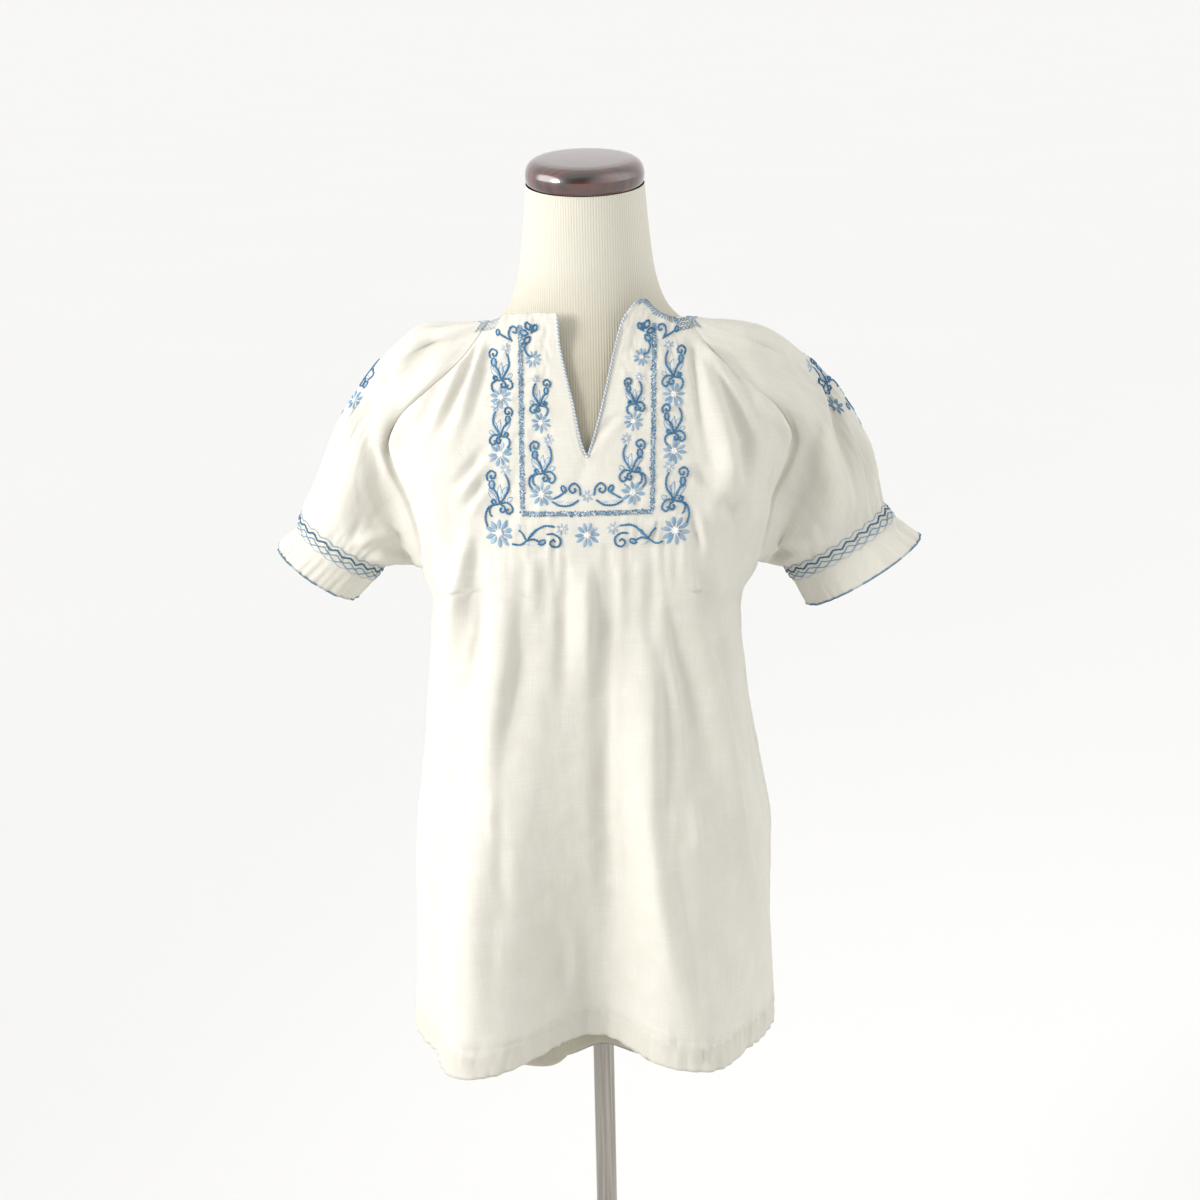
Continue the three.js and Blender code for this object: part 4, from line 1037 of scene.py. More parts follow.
class Embroidery:
    """Stitches as grids of (across, up, height) points on a chart that maps them onto cloth."""

    def __init__(self, chart):
        self.chart = chart
        self.points, self.quads, self.tints, self.flat = [], [], [], []
        self.count = 0

    def lay(self, grid, tint, flat, closed=False):
        """Adds one stitch: its grid, its tint and its places on the flat."""
        rows, columns = grid.shape[:2]
        self.points.append(grid.reshape(-1, 3))
        self.quads.append(grid_quads(rows, columns, closed, self.count))
        self.tints.append(np.broadcast_to(tint, grid.shape).reshape(-1, 3))
        self.flat.append(flat.reshape(-1, 2))
        self.count += rows * columns

    def thread(self, path, radius, tint, lift=0.5, up=(0, 0, 1), sides=6):
        """A twisted thread along a path; its ends taper into the cloth."""
        path = np.array(path, float)
        tangent = unit(np.gradient(path, axis=0))
        side = unit(np.cross(tangent, np.broadcast_to(up, path.shape)))
        rise = np.cross(side, tangent)
        way = way_along(path)[:, None]
        angle = np.linspace(0, 2 * np.pi, sides, endpoint=False)[None, :]
        swell = radius * (1 + 0.24 * np.cos(2 * angle - 2 * np.pi * way / TWIST))
        ends = np.minimum(way, way[-1] - way)
        swell = swell * np.clip(ends / 0.7 + 0.12, 0, 1) ** 0.5
        core = path + rise * lift * radius
        ring = core[:, None] + side[:, None] * (np.cos(angle) * swell)[..., None]
        ring = ring + rise[:, None] * (np.sin(angle) * swell)[..., None]
        self.lay(ring, tint, stack(way + angle * radius, angle * radius), closed=True)

    def petal(self, x, z, angle, start, length, width, tint, height=0.75):
        """A satin pad pointing away from (x, z); its strands run lengthwise."""
        across = np.linspace(-1, 1, 9)[None, :]
        along = 0.5 - 0.5 * np.cos(np.pi * np.linspace(0, 1, 9))[:, None]
        half = width / 2 * np.maximum(np.sin(np.pi * along**1.25), 0) ** 0.55
        strands = 0.10 * np.cos(across * 4 * np.pi)
        dome = (1 - across**2) ** 0.6 * (0.35 + 0.65 * np.sin(np.pi * (0.1 + 0.8 * along)))
        rise = height * dome + strands * (np.abs(across) < 0.95) - 0.12
        forward = start + along * length
        a = across * half
        grid = stack(*turned(x, z, angle, forward, a), rise)
        fade = (0.86 + 0.22 * along + 0.06 * np.cos(across * 9))[..., None]
        self.lay(grid, np.array(tint) * fade, stack(a, forward))

    def leaf(self, x, z, angle, length, width, tint):
        """A pale pointed leaf with a stitched outline."""
        along = np.linspace(0, 1, 9)[:, None]
        across = np.linspace(-1, 1, 5)[None, :]
        half = width / 2 * np.sin(np.pi * along**0.85)
        forward = along * length
        a = across * half + 0.08 * length * np.sin(np.pi * along)
        grid = stack(*turned(x, z, angle, forward, a), 0.3 - 0.4 * across**2)
        self.lay(grid, tint, stack(a, forward))
        for edge in (0, -1):
            self.thread(smooth_path(grid[::2, edge], 0.7), 0.3, SKY, sides=4)

    def knot(self, x, z, radius, tint, height=0.9):
        """A small round knot."""
        angle = np.linspace(0, 2 * np.pi, 8, endpoint=False)[None, :]
        reach = np.array([1.0, 0.92, 0.6, 0.05])[:, None] * radius
        rise = np.array([-0.2, 0.45, 0.9, 1.0])[:, None] * height
        grid = stack(x + reach * np.cos(angle), z + reach * np.sin(angle), rise)
        self.lay(grid, tint, grid[..., :2], closed=True)

    def flower(self, x, z, radius, petals=9, low=SKY, high=LIGHT):
        """A daisy: a ring of petals round a white knot and five smaller ones."""
        first = dice.random() * 2 * np.pi
        for index in range(petals):
            angle = first + 2 * np.pi * index / petals + dice.normal(0, 0.05)
            reach = radius * (0.94 + 0.12 * dice.random())
            start = 0.26 * radius
            width = 1.12 * np.pi * radius / petals * (0.92 + 0.12 * dice.random())
            self.petal(x, z, angle, start, reach - start, width, shades(low, high))
        self.knot(x, z, 0.22 * radius, WHITE)
        for index in range(5):
            angle = first + 2 * np.pi * index / 5
            self.knot(x + 0.17 * radius * math.cos(angle), z + 0.17 * radius * math.sin(angle),
                      0.09 * radius + 0.15, WHITE, 1.1)

    def bud(self, x, z, size, angle=UPRIGHT):
        """A small bud: an outline with short barbs all round a paler middle."""
        self.petal(x, z, angle, -size, 2 * size, 1.3 * size, shades(SKY, LIGHT), 0.7)
        tint = shades(DEEP, MIDDLE)
        spin = np.linspace(0, 2 * np.pi, 17)[:, None]
        forward = np.array([[math.cos(angle), math.sin(angle)]])
        sideways = np.array([[-math.sin(angle), math.cos(angle)]])
        outline = size * (1.05 * np.cos(spin) * forward + 0.72 * np.sin(spin) * sideways)
        self.thread(smooth_path(outline + (x, z)), 0.62, tint)
        for place in outline[:-1:2]:
            ends = [place * share + (x, z) for share in (1.0, 1.55)]
            self.thread(smooth_path(ends, 0.5), 0.3, tint, sides=4)

    def curve(self, points, flip=1):
        """A rope line with small barbs to its sides; flip -1 mirrors it."""
        path = smooth_path([(flip * across, up) for across, up in points])
        tint = shades(DEEP, MIDDLE)
        self.thread(path, ROPE, tint)
        forward = unit(np.gradient(path, axis=0))
        for index in range(3, len(path) - 3, 3):
            side = dice.choice((-1, 1)) * np.array([-forward[index][1], forward[index][0], 0])
            tip = path[index] + side * dice.uniform(1.0, 1.5) + forward[index] * 0.5
            self.thread([path[index], (path[index] + tip) / 2, tip], BARB, tint, sides=3)

    def make(self, name, material):
        """The piece with everything laid so far, on the cloth."""
        points = self.chart(np.concatenate(self.points))
        return make_object(name, points, np.concatenate(self.quads), np.concatenate(self.flat) * MM,
                           np.concatenate(self.tints), material, "embroidery")


# ------------------------------------------------------------------ charts: flat places onto cloth
YOKE_MIDDLE_TOP = -0.5       # where the yoke's middle stands at its top,
YOKE_LEAN = -4.0             # and how far it leans over the way down from LEAN_TOP_Z
LEAN_TOP_Z = 1330
LEAN_HEIGHT = 180


def yoke_middle(z):
    """Where the yoke's middle stands across, which wanders to the left on its way down."""
    return YOKE_MIDDLE_TOP + YOKE_LEAN * np.clip((LEAN_TOP_Z - z) / LEAN_HEIGHT, 0, 1)


def front_chart(piece):
    """Chart of the front: across from the yoke's middle, up is the height."""
    vertices = [vertex.co[:] for vertex in piece.data.vertices]
    tree = BVHTree.FromPolygons(vertices, [polygon.vertices[:] for polygon in piece.data.polygons])
    inward = Vector((0, 1, 0))

    def place(flat):
        result = np.empty(flat.shape)
        for index, (across, up, height) in enumerate(flat):
            x = across + yoke_middle(up)
            hit, normal, _, _ = tree.ray_cast(Vector((x * MM, -1, up * MM)), inward)
            if hit is None:
                hit, normal, _, _ = tree.find_nearest(Vector((x * MM, -0.1, up * MM)))
            if normal.y > 0:
                normal = -normal
            result[index] = np.array(hit) / MM + np.array(normal) * height
        return result

    return place


def patch_chart(points, outward, row=0, middle=0):
    """Chart of a grid: across in mm along a row from a middle column, up in mm from its first row.

    Gives the chart and the length of that row.
    """
    normals = grid_normals(points)
    if (normals * outward).sum() < 0:
        normals = -normals
    along = way_along(points[row])
    places = along - along[middle]
    lengths = way_along(points)
    rows, columns = (np.arange(count) for count in lengths.shape)

    def place(flat):
        result = np.empty(flat.shape)
        for index, (across, up, height) in enumerate(flat):
            column = np.interp(across, places, columns)
            low = min(int(column), columns[-2])
            level = np.interp(up, lengths[:, low], rows)
            bottom = min(int(level), rows[-2])
            s, t = column - low, level - bottom
            weights = ((1 - t) * (1 - s), (1 - t) * s, t * (1 - s), t * s)
            corners = ((bottom, low), (bottom, low + 1), (bottom + 1, low), (bottom + 1, low + 1))
            spot = sum(weight * points[corner] for weight, corner in zip(weights, corners))
            facing = sum(weight * normals[corner] for weight, corner in zip(weights, corners))
            result[index] = spot + facing * height
        return result

    return place, along[-1]


# ------------------------------------------------------------------ motifs of the yoke
# Lines of one spray, around its hub at (0, 0).
SPRAY_STEMS = [
    [(0, -1), (4, 5), (8.4, 13), (8, 21), (5.6, 26)],
    [(0, -1), (-1.5, 5), (-4, 10), (-6.6, 13.5)],
    [(0, -1), (6, 0.8), (11, -2), (12.4, -7), (8.8, -10), (5.8, -7.4), (8.2, -5.4)],
    [(1, -2), (4.4, -3.2), (4.6, -7.6), (1.2, -8.2), (0.4, -5.2), (2.4, -4.6)],
    [(-1, -1.5), (-6, -1.6), (-9.6, -5), (-9.2, -10.6), (-7, -13)],
    [(-4.6, -1.4), (-8.2, 0.8), (-6.4, 3.2), (-3.4, 0.2)],
    [(-11.6, 20.4), (-12.8, 26), (-8.6, 30), (-4.4, 27.4), (-5.6, 23.2), (-9, 23.6), (-8.4, 26.2)],
]
# Its leaves, by place, angle and length, and the places of its knots.
SPRAY_LEAVES = [(-2.6, 3.0, 2.3, 13.0), (1.2, 4.0, 1.62, 13.5), (7.5, 1.6, 0.6, 6.5), (3.6, 7.0, 1.15, 9.0)]
SPRAY_KNOTS = [(0, -0.5), (-2.6, -1.2), (1.9, 0.6), (-5.2, -1.6)]


def spray(work, x, z, scale, flip):
    """A hub with two stems, a spiral, a bud, leaves, and curls below; flip is 1 or -1."""
    for stem in SPRAY_STEMS:
        work.curve([(x + flip * scale * across, z + scale * up) for across, up in stem])
    for across, up, angle, length in SPRAY_LEAVES:
        spin = angle if flip > 0 else math.pi - angle
        work.leaf(x + flip * scale * across, z + scale * up, spin, scale * length, scale * 4.2, LEAF)
    work.bud(x - flip * scale * 7.8, z + scale * 17.0, scale * 3.6)
    work.flower(x + flip * scale * 5.6, z + scale * 31.2, scale * 5.8, 7, LIGHT, PALE)
    for across, up in SPRAY_KNOTS:
        work.knot(x + flip * scale * across, z + scale * up, 1.15 * scale, DEEP, 1.1)


# The upright columns of one side, the outer one first: sprays by place, scale and flip, and flowers
# by place and radius.
COLUMN_SPRAYS = (
    (80.5, 1285, 0.87, 1), (80.5, 1235, 0.84, -1), (81.5, 1174, 0.97, 1),
    (44.0, 1262.5, 0.74, -1), (41.5, 1202, 0.93, 1),
)
COLUMN_FLOWERS = (
    (80.5, 1269, 9.8), (81.0, 1218, 10.8), (82.0, 1146.5, 12.8),
    (50.5, 1303, 7.6), (43.0, 1246.5, 8.8), (42.5, 1182.5, 10.6),
)
FLOWER_FULLNESS = 1.06       # how much wider the columns' flowers are worked than charted
TOP_CURVES = [
    [(70, 1318), (73.5, 1325), (71, 1331), (66.5, 1330), (67, 1326), (70, 1327)],
    [(70, 1319), (77, 1322), (82, 1325)],
]
TOP_LOOPS = [(52.5, 1327, 2.3), (54.0, 1328, 1.2), (55.0, 1325, 0.2), (53.5, 1323, -0.9)]
SMALL_CURVES = [
    [(56, 1318), (58.5, 1313), (56, 1307), (51.5, 1305)],
    [(84, 1173), (92, 1170), (95, 1161), (93, 1152)],
    [(47, 1201), (53, 1198), (54, 1191), (51, 1187)],
    [(55, 1334), (51, 1332), (50.4, 1328), (53, 1325.5)],
]
LOOP_OUTLINE = ((0, 0), (0.55, 0.3), (1, 0), (0.55, -0.3), (0, 0))
LOOP_LENGTH = 8.0

# The lying rows of one side, the inner one over the lattice band and the outer one under it. A petal
# is given by its foot, lean, length, width, tint and height, and a bud by its place, size and lean.
LYING_CURVES = [
    [
        [(33, 1176), (26, 1172.5), (16, 1172.4), (8, 1177)],
        [(32, 1178), (26, 1181), (20, 1185)],
        [(6.5, 1181), (7.5, 1188), (12.5, 1192), (17, 1188), (14.5, 1183.5), (10.8, 1185.5), (12.6, 1187.8)],
    ],
    [
        [(70.5, 1137), (63, 1136), (56, 1141), (49, 1149), (39, 1154), (30, 1153)],
        [(57, 1140.5), (50, 1141.6), (45, 1139)],
        [(38, 1146), (32, 1146.5), (25.6, 1142), (26.4, 1135.6), (32, 1134), (35, 1138), (31.6, 1141),
         (29.6, 1138.6)],
        [(57, 1141), (60.6, 1147), (64, 1150)],
    ],
]
LYING_PETALS = [
    [(32, 1175, 1.45, 11, 3.2, PALE, 0.5), (20, 1175.4, 1.62, 9, 2.8, PALE, 0.5)],
    [(55, 1142.5, 0.86, 12, 3.6, SKY, 0.6), (58, 1137, 1.75, 8, 3.0, PALE, 0.5),
     (62, 1150, -0.3, 6, 3.0, PALE, 0.5)],
]
LYING_BUDS = [(22, 1187, 2.9, -0.5), (42.4, 1138.4, 3.0, 1.2)]


def loop(work, x, z, angle):
    """A leaf drawn as one closed rope line that starts and ends at (x, z)."""
    outline = [(LOOP_LENGTH * along, LOOP_LENGTH * aside) for along, aside in LOOP_OUTLINE]
    work.curve([turned(x, z, angle, *place) for place in outline])


def yoke_columns(work):
    """The upright rows of sprays and flowers, mirrored about the middle."""
    for side in (-1, 1):
        for x, z, scale, flip in COLUMN_SPRAYS:
            spray(work, side * x, z, scale, -side * flip)
        for x, z, radius in COLUMN_FLOWERS:
            work.flower(side * x, z, radius * FLOWER_FULLNESS, 10)
        for points in TOP_CURVES:
            work.curve(points, side)
        work.bud(side * 83.5, 1326, 2.3)
        for across, up, angle in TOP_LOOPS:
            loop(work, side * across, up, angle if side > 0 else math.pi - angle)
        for points in SMALL_CURVES:
            work.curve(points, side)


def yoke_rows(work):
    """The lying rows at the yoke's foot."""
    for side in (-1, 1):
        for curves, petals, (x, z, size, lean) in zip(LYING_CURVES, LYING_PETALS, LYING_BUDS):
            for points in curves:
                work.curve(points, side)
            for across, up, turning, length, width, tint, height in petals:
                work.petal(side * across, up, math.pi / 2 + side * turning, 0, length, width, tint, height)
            work.bud(side * x, z, size, UPRIGHT + side * lean)
        work.flower(side * 23.5, 1151, 6.0, 7, LIGHT, PALE)
    work.flower(0, 1180.5, 6.0, 7, LIGHT, PALE)
    work.flower(0, 1145, 11.8, 10)


LATTICE_HALF_TOP = 62.6
LATTICE_HALF_FOOT = 60.2
LATTICE_WIDTH = 5.2
LATTICE_TOP_Z = 1333
LATTICE_STEP = 0.6
LATTICE_GROUND = (0.36, 0.48, 0.57)
LATTICE_SPECKS = (TEAL, WHITE, TEAL, WHITE, SMOKE, PALE)


def lattice_path():
    """Down one side, across the foot and up the other, as (across, up) with evenly spaced points."""
    corners = np.array([
        (-LATTICE_HALF_TOP, LATTICE_TOP_Z), (-LATTICE_HALF_FOOT, LATTICE_Z),
        (LATTICE_HALF_FOOT, LATTICE_Z), (LATTICE_HALF_TOP, LATTICE_TOP_Z),
    ], float)
    lengths = way_along(corners)
    places = np.arange(0, lengths[-1], LATTICE_STEP)
    path = np.stack([np.interp(places, lengths, corners[:, axis]) for axis in (0, 1)], axis=-1)
    tangent = unit(np.gradient(path, axis=0))
    side = np.stack([tangent[:, 1], -tangent[:, 0]], axis=-1)
    return path, side, places


def lattice_band(work):
    """A narrow band of crossing stitches on a blue-grey ground, speckled with darker and white thread."""
    path, side, places = lattice_path()
    across = np.linspace(-1, 1, 5)[None, :, None]
    ground = path[:, None] + side[:, None] * across * (LATTICE_WIDTH / 2 - 0.3)
    grid = stack(ground[..., 0], ground[..., 1], np.array([-0.2, 0.2, 0.25, 0.2, -0.2]))
    fade = 1 + 0.12 * np.sin(places / 9)[:, None, None]
    work.lay(grid, np.array(LATTICE_GROUND) * fade, stack(places[:, None], across[..., 0]))
    for phase, pitch, tint in ((0, 5.4, SMOKE), (np.pi, 5.4, SKY), (1.5, 7.9, SMOKE)):
        swing = triangle_wave(places, pitch, phase) * (LATTICE_WIDTH / 2 - 0.1)
        crossing = np.column_stack([path + side * swing[:, None], np.full(len(path), 0.3)])
        work.thread(crossing, 0.27, tint, sides=4)
    for place in np.arange(0.8, places[-1] - 1, 0.55):
        index = int(np.searchsorted(places, place))
        spot = path[index] + side[index] * dice.uniform(-0.5, 0.5) * LATTICE_WIDTH
        tint = LATTICE_SPECKS[dice.integers(len(LATTICE_SPECKS))]
        work.knot(*spot, dice.uniform(0.4, 0.9), tint, 0.85)


def yoke_embroidery(chart, material):
    """The two pieces of the yoke's stitches."""
    columns = Embroidery(chart)
    yoke_columns(columns)
    rows = Embroidery(chart)
    yoke_rows(rows)
    lattice_band(rows)
    return [columns.make("yoke_sprays", material), rows.make("yoke_foot_and_lattice", material)]


# ------------------------------------------------------------------ edges, cuffs and sleeve sprays
PLY_REACH = 0.62             # how far the plies of the slit's cord stand from its middle
PLY_RADIUS = 0.6
CORD_PITCH = 3.4             # length in which they wind once
FORWARD = (0, -1, 0)
WAVE_SHARPNESS = 0.93        # 1 for pointed turns
STEP_SWING = 0.28            # the small steps of a wavy row
STEP_PITCH = 2.6
SMOCK_LEVEL = 3.0            # height of the first row of smocking, and from row to row
SMOCK_SPACING = 4.4
SMOCK_SWING = 2.1
SMOCK_PITCH = 6.2


def world_chart(points):
    """The chart of stitches that are laid in space itself."""
    return points


def cord(work, path):
    """Two plies, white and blue, wound around each other along an edge."""
    path = smooth_path(path, 0.45)
    tangent = unit(np.gradient(path, axis=0))
    side = unit(np.cross(tangent, FORWARD))
    rise = np.cross(side, tangent)
    for phase, tint in ((0, WHITE), (np.pi, LIGHT)):
        angle = (2 * np.pi * way_along(path) / CORD_PITCH + phase)[:, None]
        ply = path + PLY_REACH * (side * np.cos(angle) + rise * np.sin(angle))
        work.thread(ply, PLY_RADIUS, tint, lift=0, up=FORWARD)


def zigzag(start, end, level, swing, pitch, phase):
    """A wavy row of small stepped stitches between two places, as (across, up, height)."""
    across = np.arange(start, end, STITCH)
    wave = triangle_wave(across, pitch, phase, WAVE_SHARPNESS)
    steps = STEP_SWING * np.sign(np.sin(2 * np.pi * across / STEP_PITCH))
    return np.column_stack([across, level + swing * wave + steps, np.zeros(len(across))])


def blanket(work, start, end, spacing, depth, low, high):
    """Bars over an edge, and the thread that runs along it."""
    for place in np.arange(start, end, spacing):
        reach = depth * dice.uniform(0.8, 1.1)
        lean = dice.uniform(-0.25, 0.25)
        bar = smooth_path([(place, -0.3), (place + lean, reach)], 0.7)
        work.thread(bar, 0.56, shades(low, high), sides=4)
    edge = smooth_path([(start, 0.1), ((start + end) / 2, 0.1), (end, 0.1)], 0.7)
    work.thread(edge, 0.5, shades(low, high), lift=0.2)


def smock(work, start, end, rows, low, high):
    """Honeycomb smocking: pairs of crossing wavy rows."""
    for row in range(rows):
        for phase in (0, np.pi):
            level = SMOCK_LEVEL + SMOCK_SPACING * row
            wave = zigzag(start, end, level, SMOCK_SWING, SMOCK_PITCH, phase + 1.3 * row)
            work.thread(wave, 0.36, shades(low, high), sides=4)


def slit_cords(front_grids, material):
    """A cord along each lip of the slit, just before its edge."""
    work = Embroidery(world_chart)
    for grid in front_grids:
        lip = grid[SLIT_ROW:, 0] + np.array([0, -0.4, 0])
        cord(work, lip[::4])
    return work.make("slit_cords", material)


NECK_PATCH_ROWS = 30         # the part of a sleeve's grid that borders the neck
NECK_COLUMNS = slice(SEAM_RIM_STEPS - 3, SEAM_RIM_STEPS + NECK_RIM_STEPS + 2)


def neck_stitches(front_grids, back_grid, sleeve_grids, material):
    """Blanket stitch round the neck, and smocking where the cloth is gathered to it."""
    made = {}

    def edge(name, grid, outward):
        chart, reach = patch_chart(grid, np.array(outward))
        made[name] = Embroidery(chart)
        return made[name], reach

    work, reach = edge("left", front_grids[0][::-1], (0, -1, 0.2))
    smock(work, reach * 0.8, reach - 0.5, 3, WHITE, LIGHT)
    work, reach = edge("right", front_grids[1][::-1], (0, -1, 0.2))
    smock(work, reach * 0.76, reach - 0.5, 3, TEAL, SMOKE)
    blanket(work, 0.6, reach * 0.8, 2.1, 6.2, SMOKE, SKY)
    work, reach = edge("back", back_grid[::-1], (0, 1, 0.2))
    blanket(work, 0.6, reach - 0.6, 2.2, 5.0, LIGHT, PALE)
    smock(work, 1.0, reach - 1.0, 2, WHITE, LIGHT)
    for side, grid in sleeve_grids.items():
        work, reach = edge("over_" + SIDE_NAMES[side], grid[:NECK_PATCH_ROWS, NECK_COLUMNS], (side, 0, 1))
        blanket(work, 0.4, reach - 0.4, 2.3, 3.4, LIGHT, PALE)
        smock(work, 0.5, reach - 0.5, 2, WHITE, SKY)
    return [work.make(f"neck_{name}_stitches", material) for name, work in made.items()]


CUFF_ROWS = (                # level, swing, thread radius, phase and tint
    (1.2, 1.9, 0.42, 0.5, SMOKE), (5.8, 2.3, 0.8, 0.0, TEAL), (10.4, 2.1, 0.5, 0.6, SKY),
    (13.8, 2.0, 0.52, 3.6, SMOKE), (17.0, 1.2, 0.36, 0.2, PALE),
)
CUFF_PITCH = 15              # about one wave of those rows
FRILL_STITCHED = 0.55        # share of the frill's edge where its overcasting still shows blue
FRILL_STRETCH = 12           # length of edge that is overcast in one colour


def cuff_stitches(side, grid, material):
    """Wavy smocking rows round the band, and the overcast edge of the frill."""
    ring = np.concatenate([grid, grid[:, :1]], axis=1)
    outward = ring - ring.mean(axis=1, keepdims=True)
    band, reach = patch_chart(ring[SLEEVE_LENGTH_ROWS - 1:], outward[SLEEVE_LENGTH_ROWS - 1:])
    work = Embroidery(band)
    pitch = reach / round(reach / CUFF_PITCH)
    for level, swing, radius, phase, tint in CUFF_ROWS:
        work.thread(zigzag(0, reach, level, swing, pitch, phase), radius, tint)
    edge, reach = patch_chart(ring[::-1][:FRILL_ROWS], outward[::-1][:FRILL_ROWS])
    hem = Embroidery(edge)
    for start in np.arange(0, reach - FRILL_STRETCH / 2, FRILL_STRETCH):
        low, high = (SKY, MIDDLE) if dice.random() < FRILL_STITCHED else (WHITE, PALE)
        blanket(hem, start, min(start + FRILL_STRETCH + 0.4, reach), 1.6, 2.2, low, high)
    name = SIDE_NAMES[side]
    return [work.make(f"cuff_{name}_smocking", material), hem.make(f"frill_{name}_edging", material)]


SPRIG_TURN = {-1: -20, 1: -5}    # degrees from the sleeve's top, positive to the front
SPRIG_LIFT = {-1: 7, 1: -3}  # how much higher or lower than charted, in mm
SPRIG_ROW = 32               # the row, counted up from the band, where across is true to size


def sleeve_sprig(side, grid, around, material):
    """Sprays and flowers on the outer side of a sleeve, measured up from its band."""
    near = np.flatnonzero(np.abs(around) < 100)
    patch = grid[:SLEEVE_LENGTH_ROWS, near][::-1]
    middle = int(np.argmin(np.abs(around[near] - SPRIG_TURN[side])))
    chart, _ = patch_chart(patch, np.array([side, 0, 1.0]), SPRIG_ROW, middle)
    work = Embroidery(chart)
    lift = SPRIG_LIFT[side]
    for flip in (-1, 1):
        work.flower(flip * 31, lift + 120, 10.4, 8, SKY, SKY)
        spray(work, flip * 17, lift + 143, 0.9, flip)
        work.bud(flip * 32, lift + 139, 3.4)
        work.curve([(31, lift + 144), (34, lift + 152), (27, lift + 156)], flip)
        work.curve([(4, 98), (9, 106), (10, 116)], flip)
        work.bud(flip * 15, 108, 3.0)
    work.flower(0, 92, 11.5, 9, SKY, LIGHT)
    work.flower(0, lift + 126, 9.0)
    work.flower(0, lift + 172, 8.0)
    return work.make(f"sleeve_{SIDE_NAMES[side]}_sprays", material)


# ------------------------------------------------------------------ materials
class Finish:
    """A material and short ways to build its nodes."""

    def __init__(self, name, **values):
        self.material = bpy.data.materials.new(name)
        self.material.use_nodes = True
        self.tree = self.material.node_tree
        self.shader = self.tree.nodes["Principled BSDF"]
        self.output = self.tree.nodes["Material Output"]
        self.uv = self.add("UVMap", uv_map="flat").outputs["UV"]
        self.fill(self.shader, {key.replace("_", " "): value for key, value in values.items()})

    def fill(self, node, values):
        for socket, value in values.items():
            if isinstance(value, bpy.types.NodeSocket):
                self.tree.links.new(value, node.inputs[socket])
            else:
                node.inputs[socket].default_value = value

    def add(self, kind, values=None, **settings):
        node = self.tree.nodes.new("ShaderNode" + kind)
        for key, value in settings.items():
            setattr(node, key, value)
        self.fill(node, values or {})
        return node

    def noise(self, scale, stretch=(1, 1, 1), detail=3.0, vector=None):
        place = self.add("Mapping", {"Vector": vector or self.uv, "Scale": stretch}).outputs["Vector"]
        return self.add("TexNoise", {"Vector": place, "Scale": scale, "Detail": detail}).outputs["Fac"]

    def wave(self, period, direction):
        """Bands one period (in metres) apart along a direction of the flat cloth."""
        values = {"Vector": self.uv, "Scale": 2 * math.pi / (20 * period)}
        node = self.add("TexWave", values, wave_type="BANDS", bands_direction=direction)
        return node.outputs["Fac"]

    def math(self, operation, a, b):
        node = self.add("Math", operation=operation)
        self.fill(node, {0: a, 1: b})
        return node.outputs[0]

    def ramp(self, factor, low, high, start=0.0, end=1.0):
        node = self.add("ValToRGB", {"Fac": factor})
        node.color_ramp.elements[0].position = start
        node.color_ramp.elements[1].position = end
        node.color_ramp.elements[0].color = (*low, 1)
        node.color_ramp.elements[1].color = (*high, 1)
        return node.outputs["Color"]

    def grey(self, factor, low, high, start=0.0, end=1.0):
        """A ramp between two even greys."""
        return self.ramp(factor, (low,) * 3, (high,) * 3, start, end)

    def object_place(self):
        return self.add("TexCoord").outputs["Object"]

    def mix(self, factor, a, b, blend="MIX"):
        node = self.add("Mix", data_type="RGBA", blend_type=blend)
        self.fill(node, {0: factor, 6: a, 7: b})
        return node.outputs[2]

    def bump(self, height, distance, strength, below=None):
        node = self.add("Bump", {"Height": height, "Distance": distance, "Strength": strength})
        if below is not None:
            self.fill(node, {"Normal": below})
        return node.outputs["Normal"]


def cotton_finish():
    """Thin white cotton: a fine plain weave with slubs, softly crumpled, letting some light through, with
    painted shade where the hem lies double.
    """
    finish = Finish("cotton_lawn", Roughness=0.82, Specular_IOR_Level=0.25, Sheen_Weight=0.12,
                    Sheen_Roughness=0.5)
    tint = finish.add("Attribute", attribute_name="tint").outputs["Fac"]
    weave = finish.math("MULTIPLY", finish.wave(0.00044, "X"), finish.wave(0.0005, "Y"))
    slub = finish.math("ADD", finish.noise(60, (14, 0.5, 1)), finish.noise(60, (0.5, 12, 1)))
    mottle = finish.noise(38, (1.2, 0.8, 1), 4.0)
    cloth = finish.ramp(mottle, (0.735, 0.719, 0.658), (0.785, 0.772, 0.720), 0.3, 0.7)
    cloth = finish.mix(finish.grey(slub, 0, 0.5, 0.85, 1.25), cloth, (0.70, 0.675, 0.60, 1))
    # Painted shade: where the cloth lies double its colour is made darker, standing in for the turned-up
    # layer's shadow seen through the thin cotton.
    doubled_shade = finish.mix(finish.math("MULTIPLY", tint, 0.9), cloth, (0.60, 0.58, 0.515, 1))
    crumple_bump = finish.bump(finish.noise(75, (1, 0.7, 1), 5.0), 0.0016, 0.5)
    slub_bump = finish.bump(slub, 0.0001, 0.6, crumple_bump)
    weave_bump = finish.bump(weave, 0.00006, 0.6, slub_bump)
    finish.fill(finish.shader, {"Base Color": doubled_shade, "Normal": weave_bump})
    through = finish.add("BsdfTranslucent", {"Color": (0.84, 0.81, 0.72, 1), "Normal": slub_bump})
    share = finish.math("SUBTRACT", 0.2, finish.math("MULTIPLY", tint, 0.14))
    blend = finish.add("MixShader", {0: share, 1: finish.shader.outputs[0], 2: through.outputs[0]})
    finish.fill(finish.output, {"Surface": blend.outputs[0]})
    return finish.material


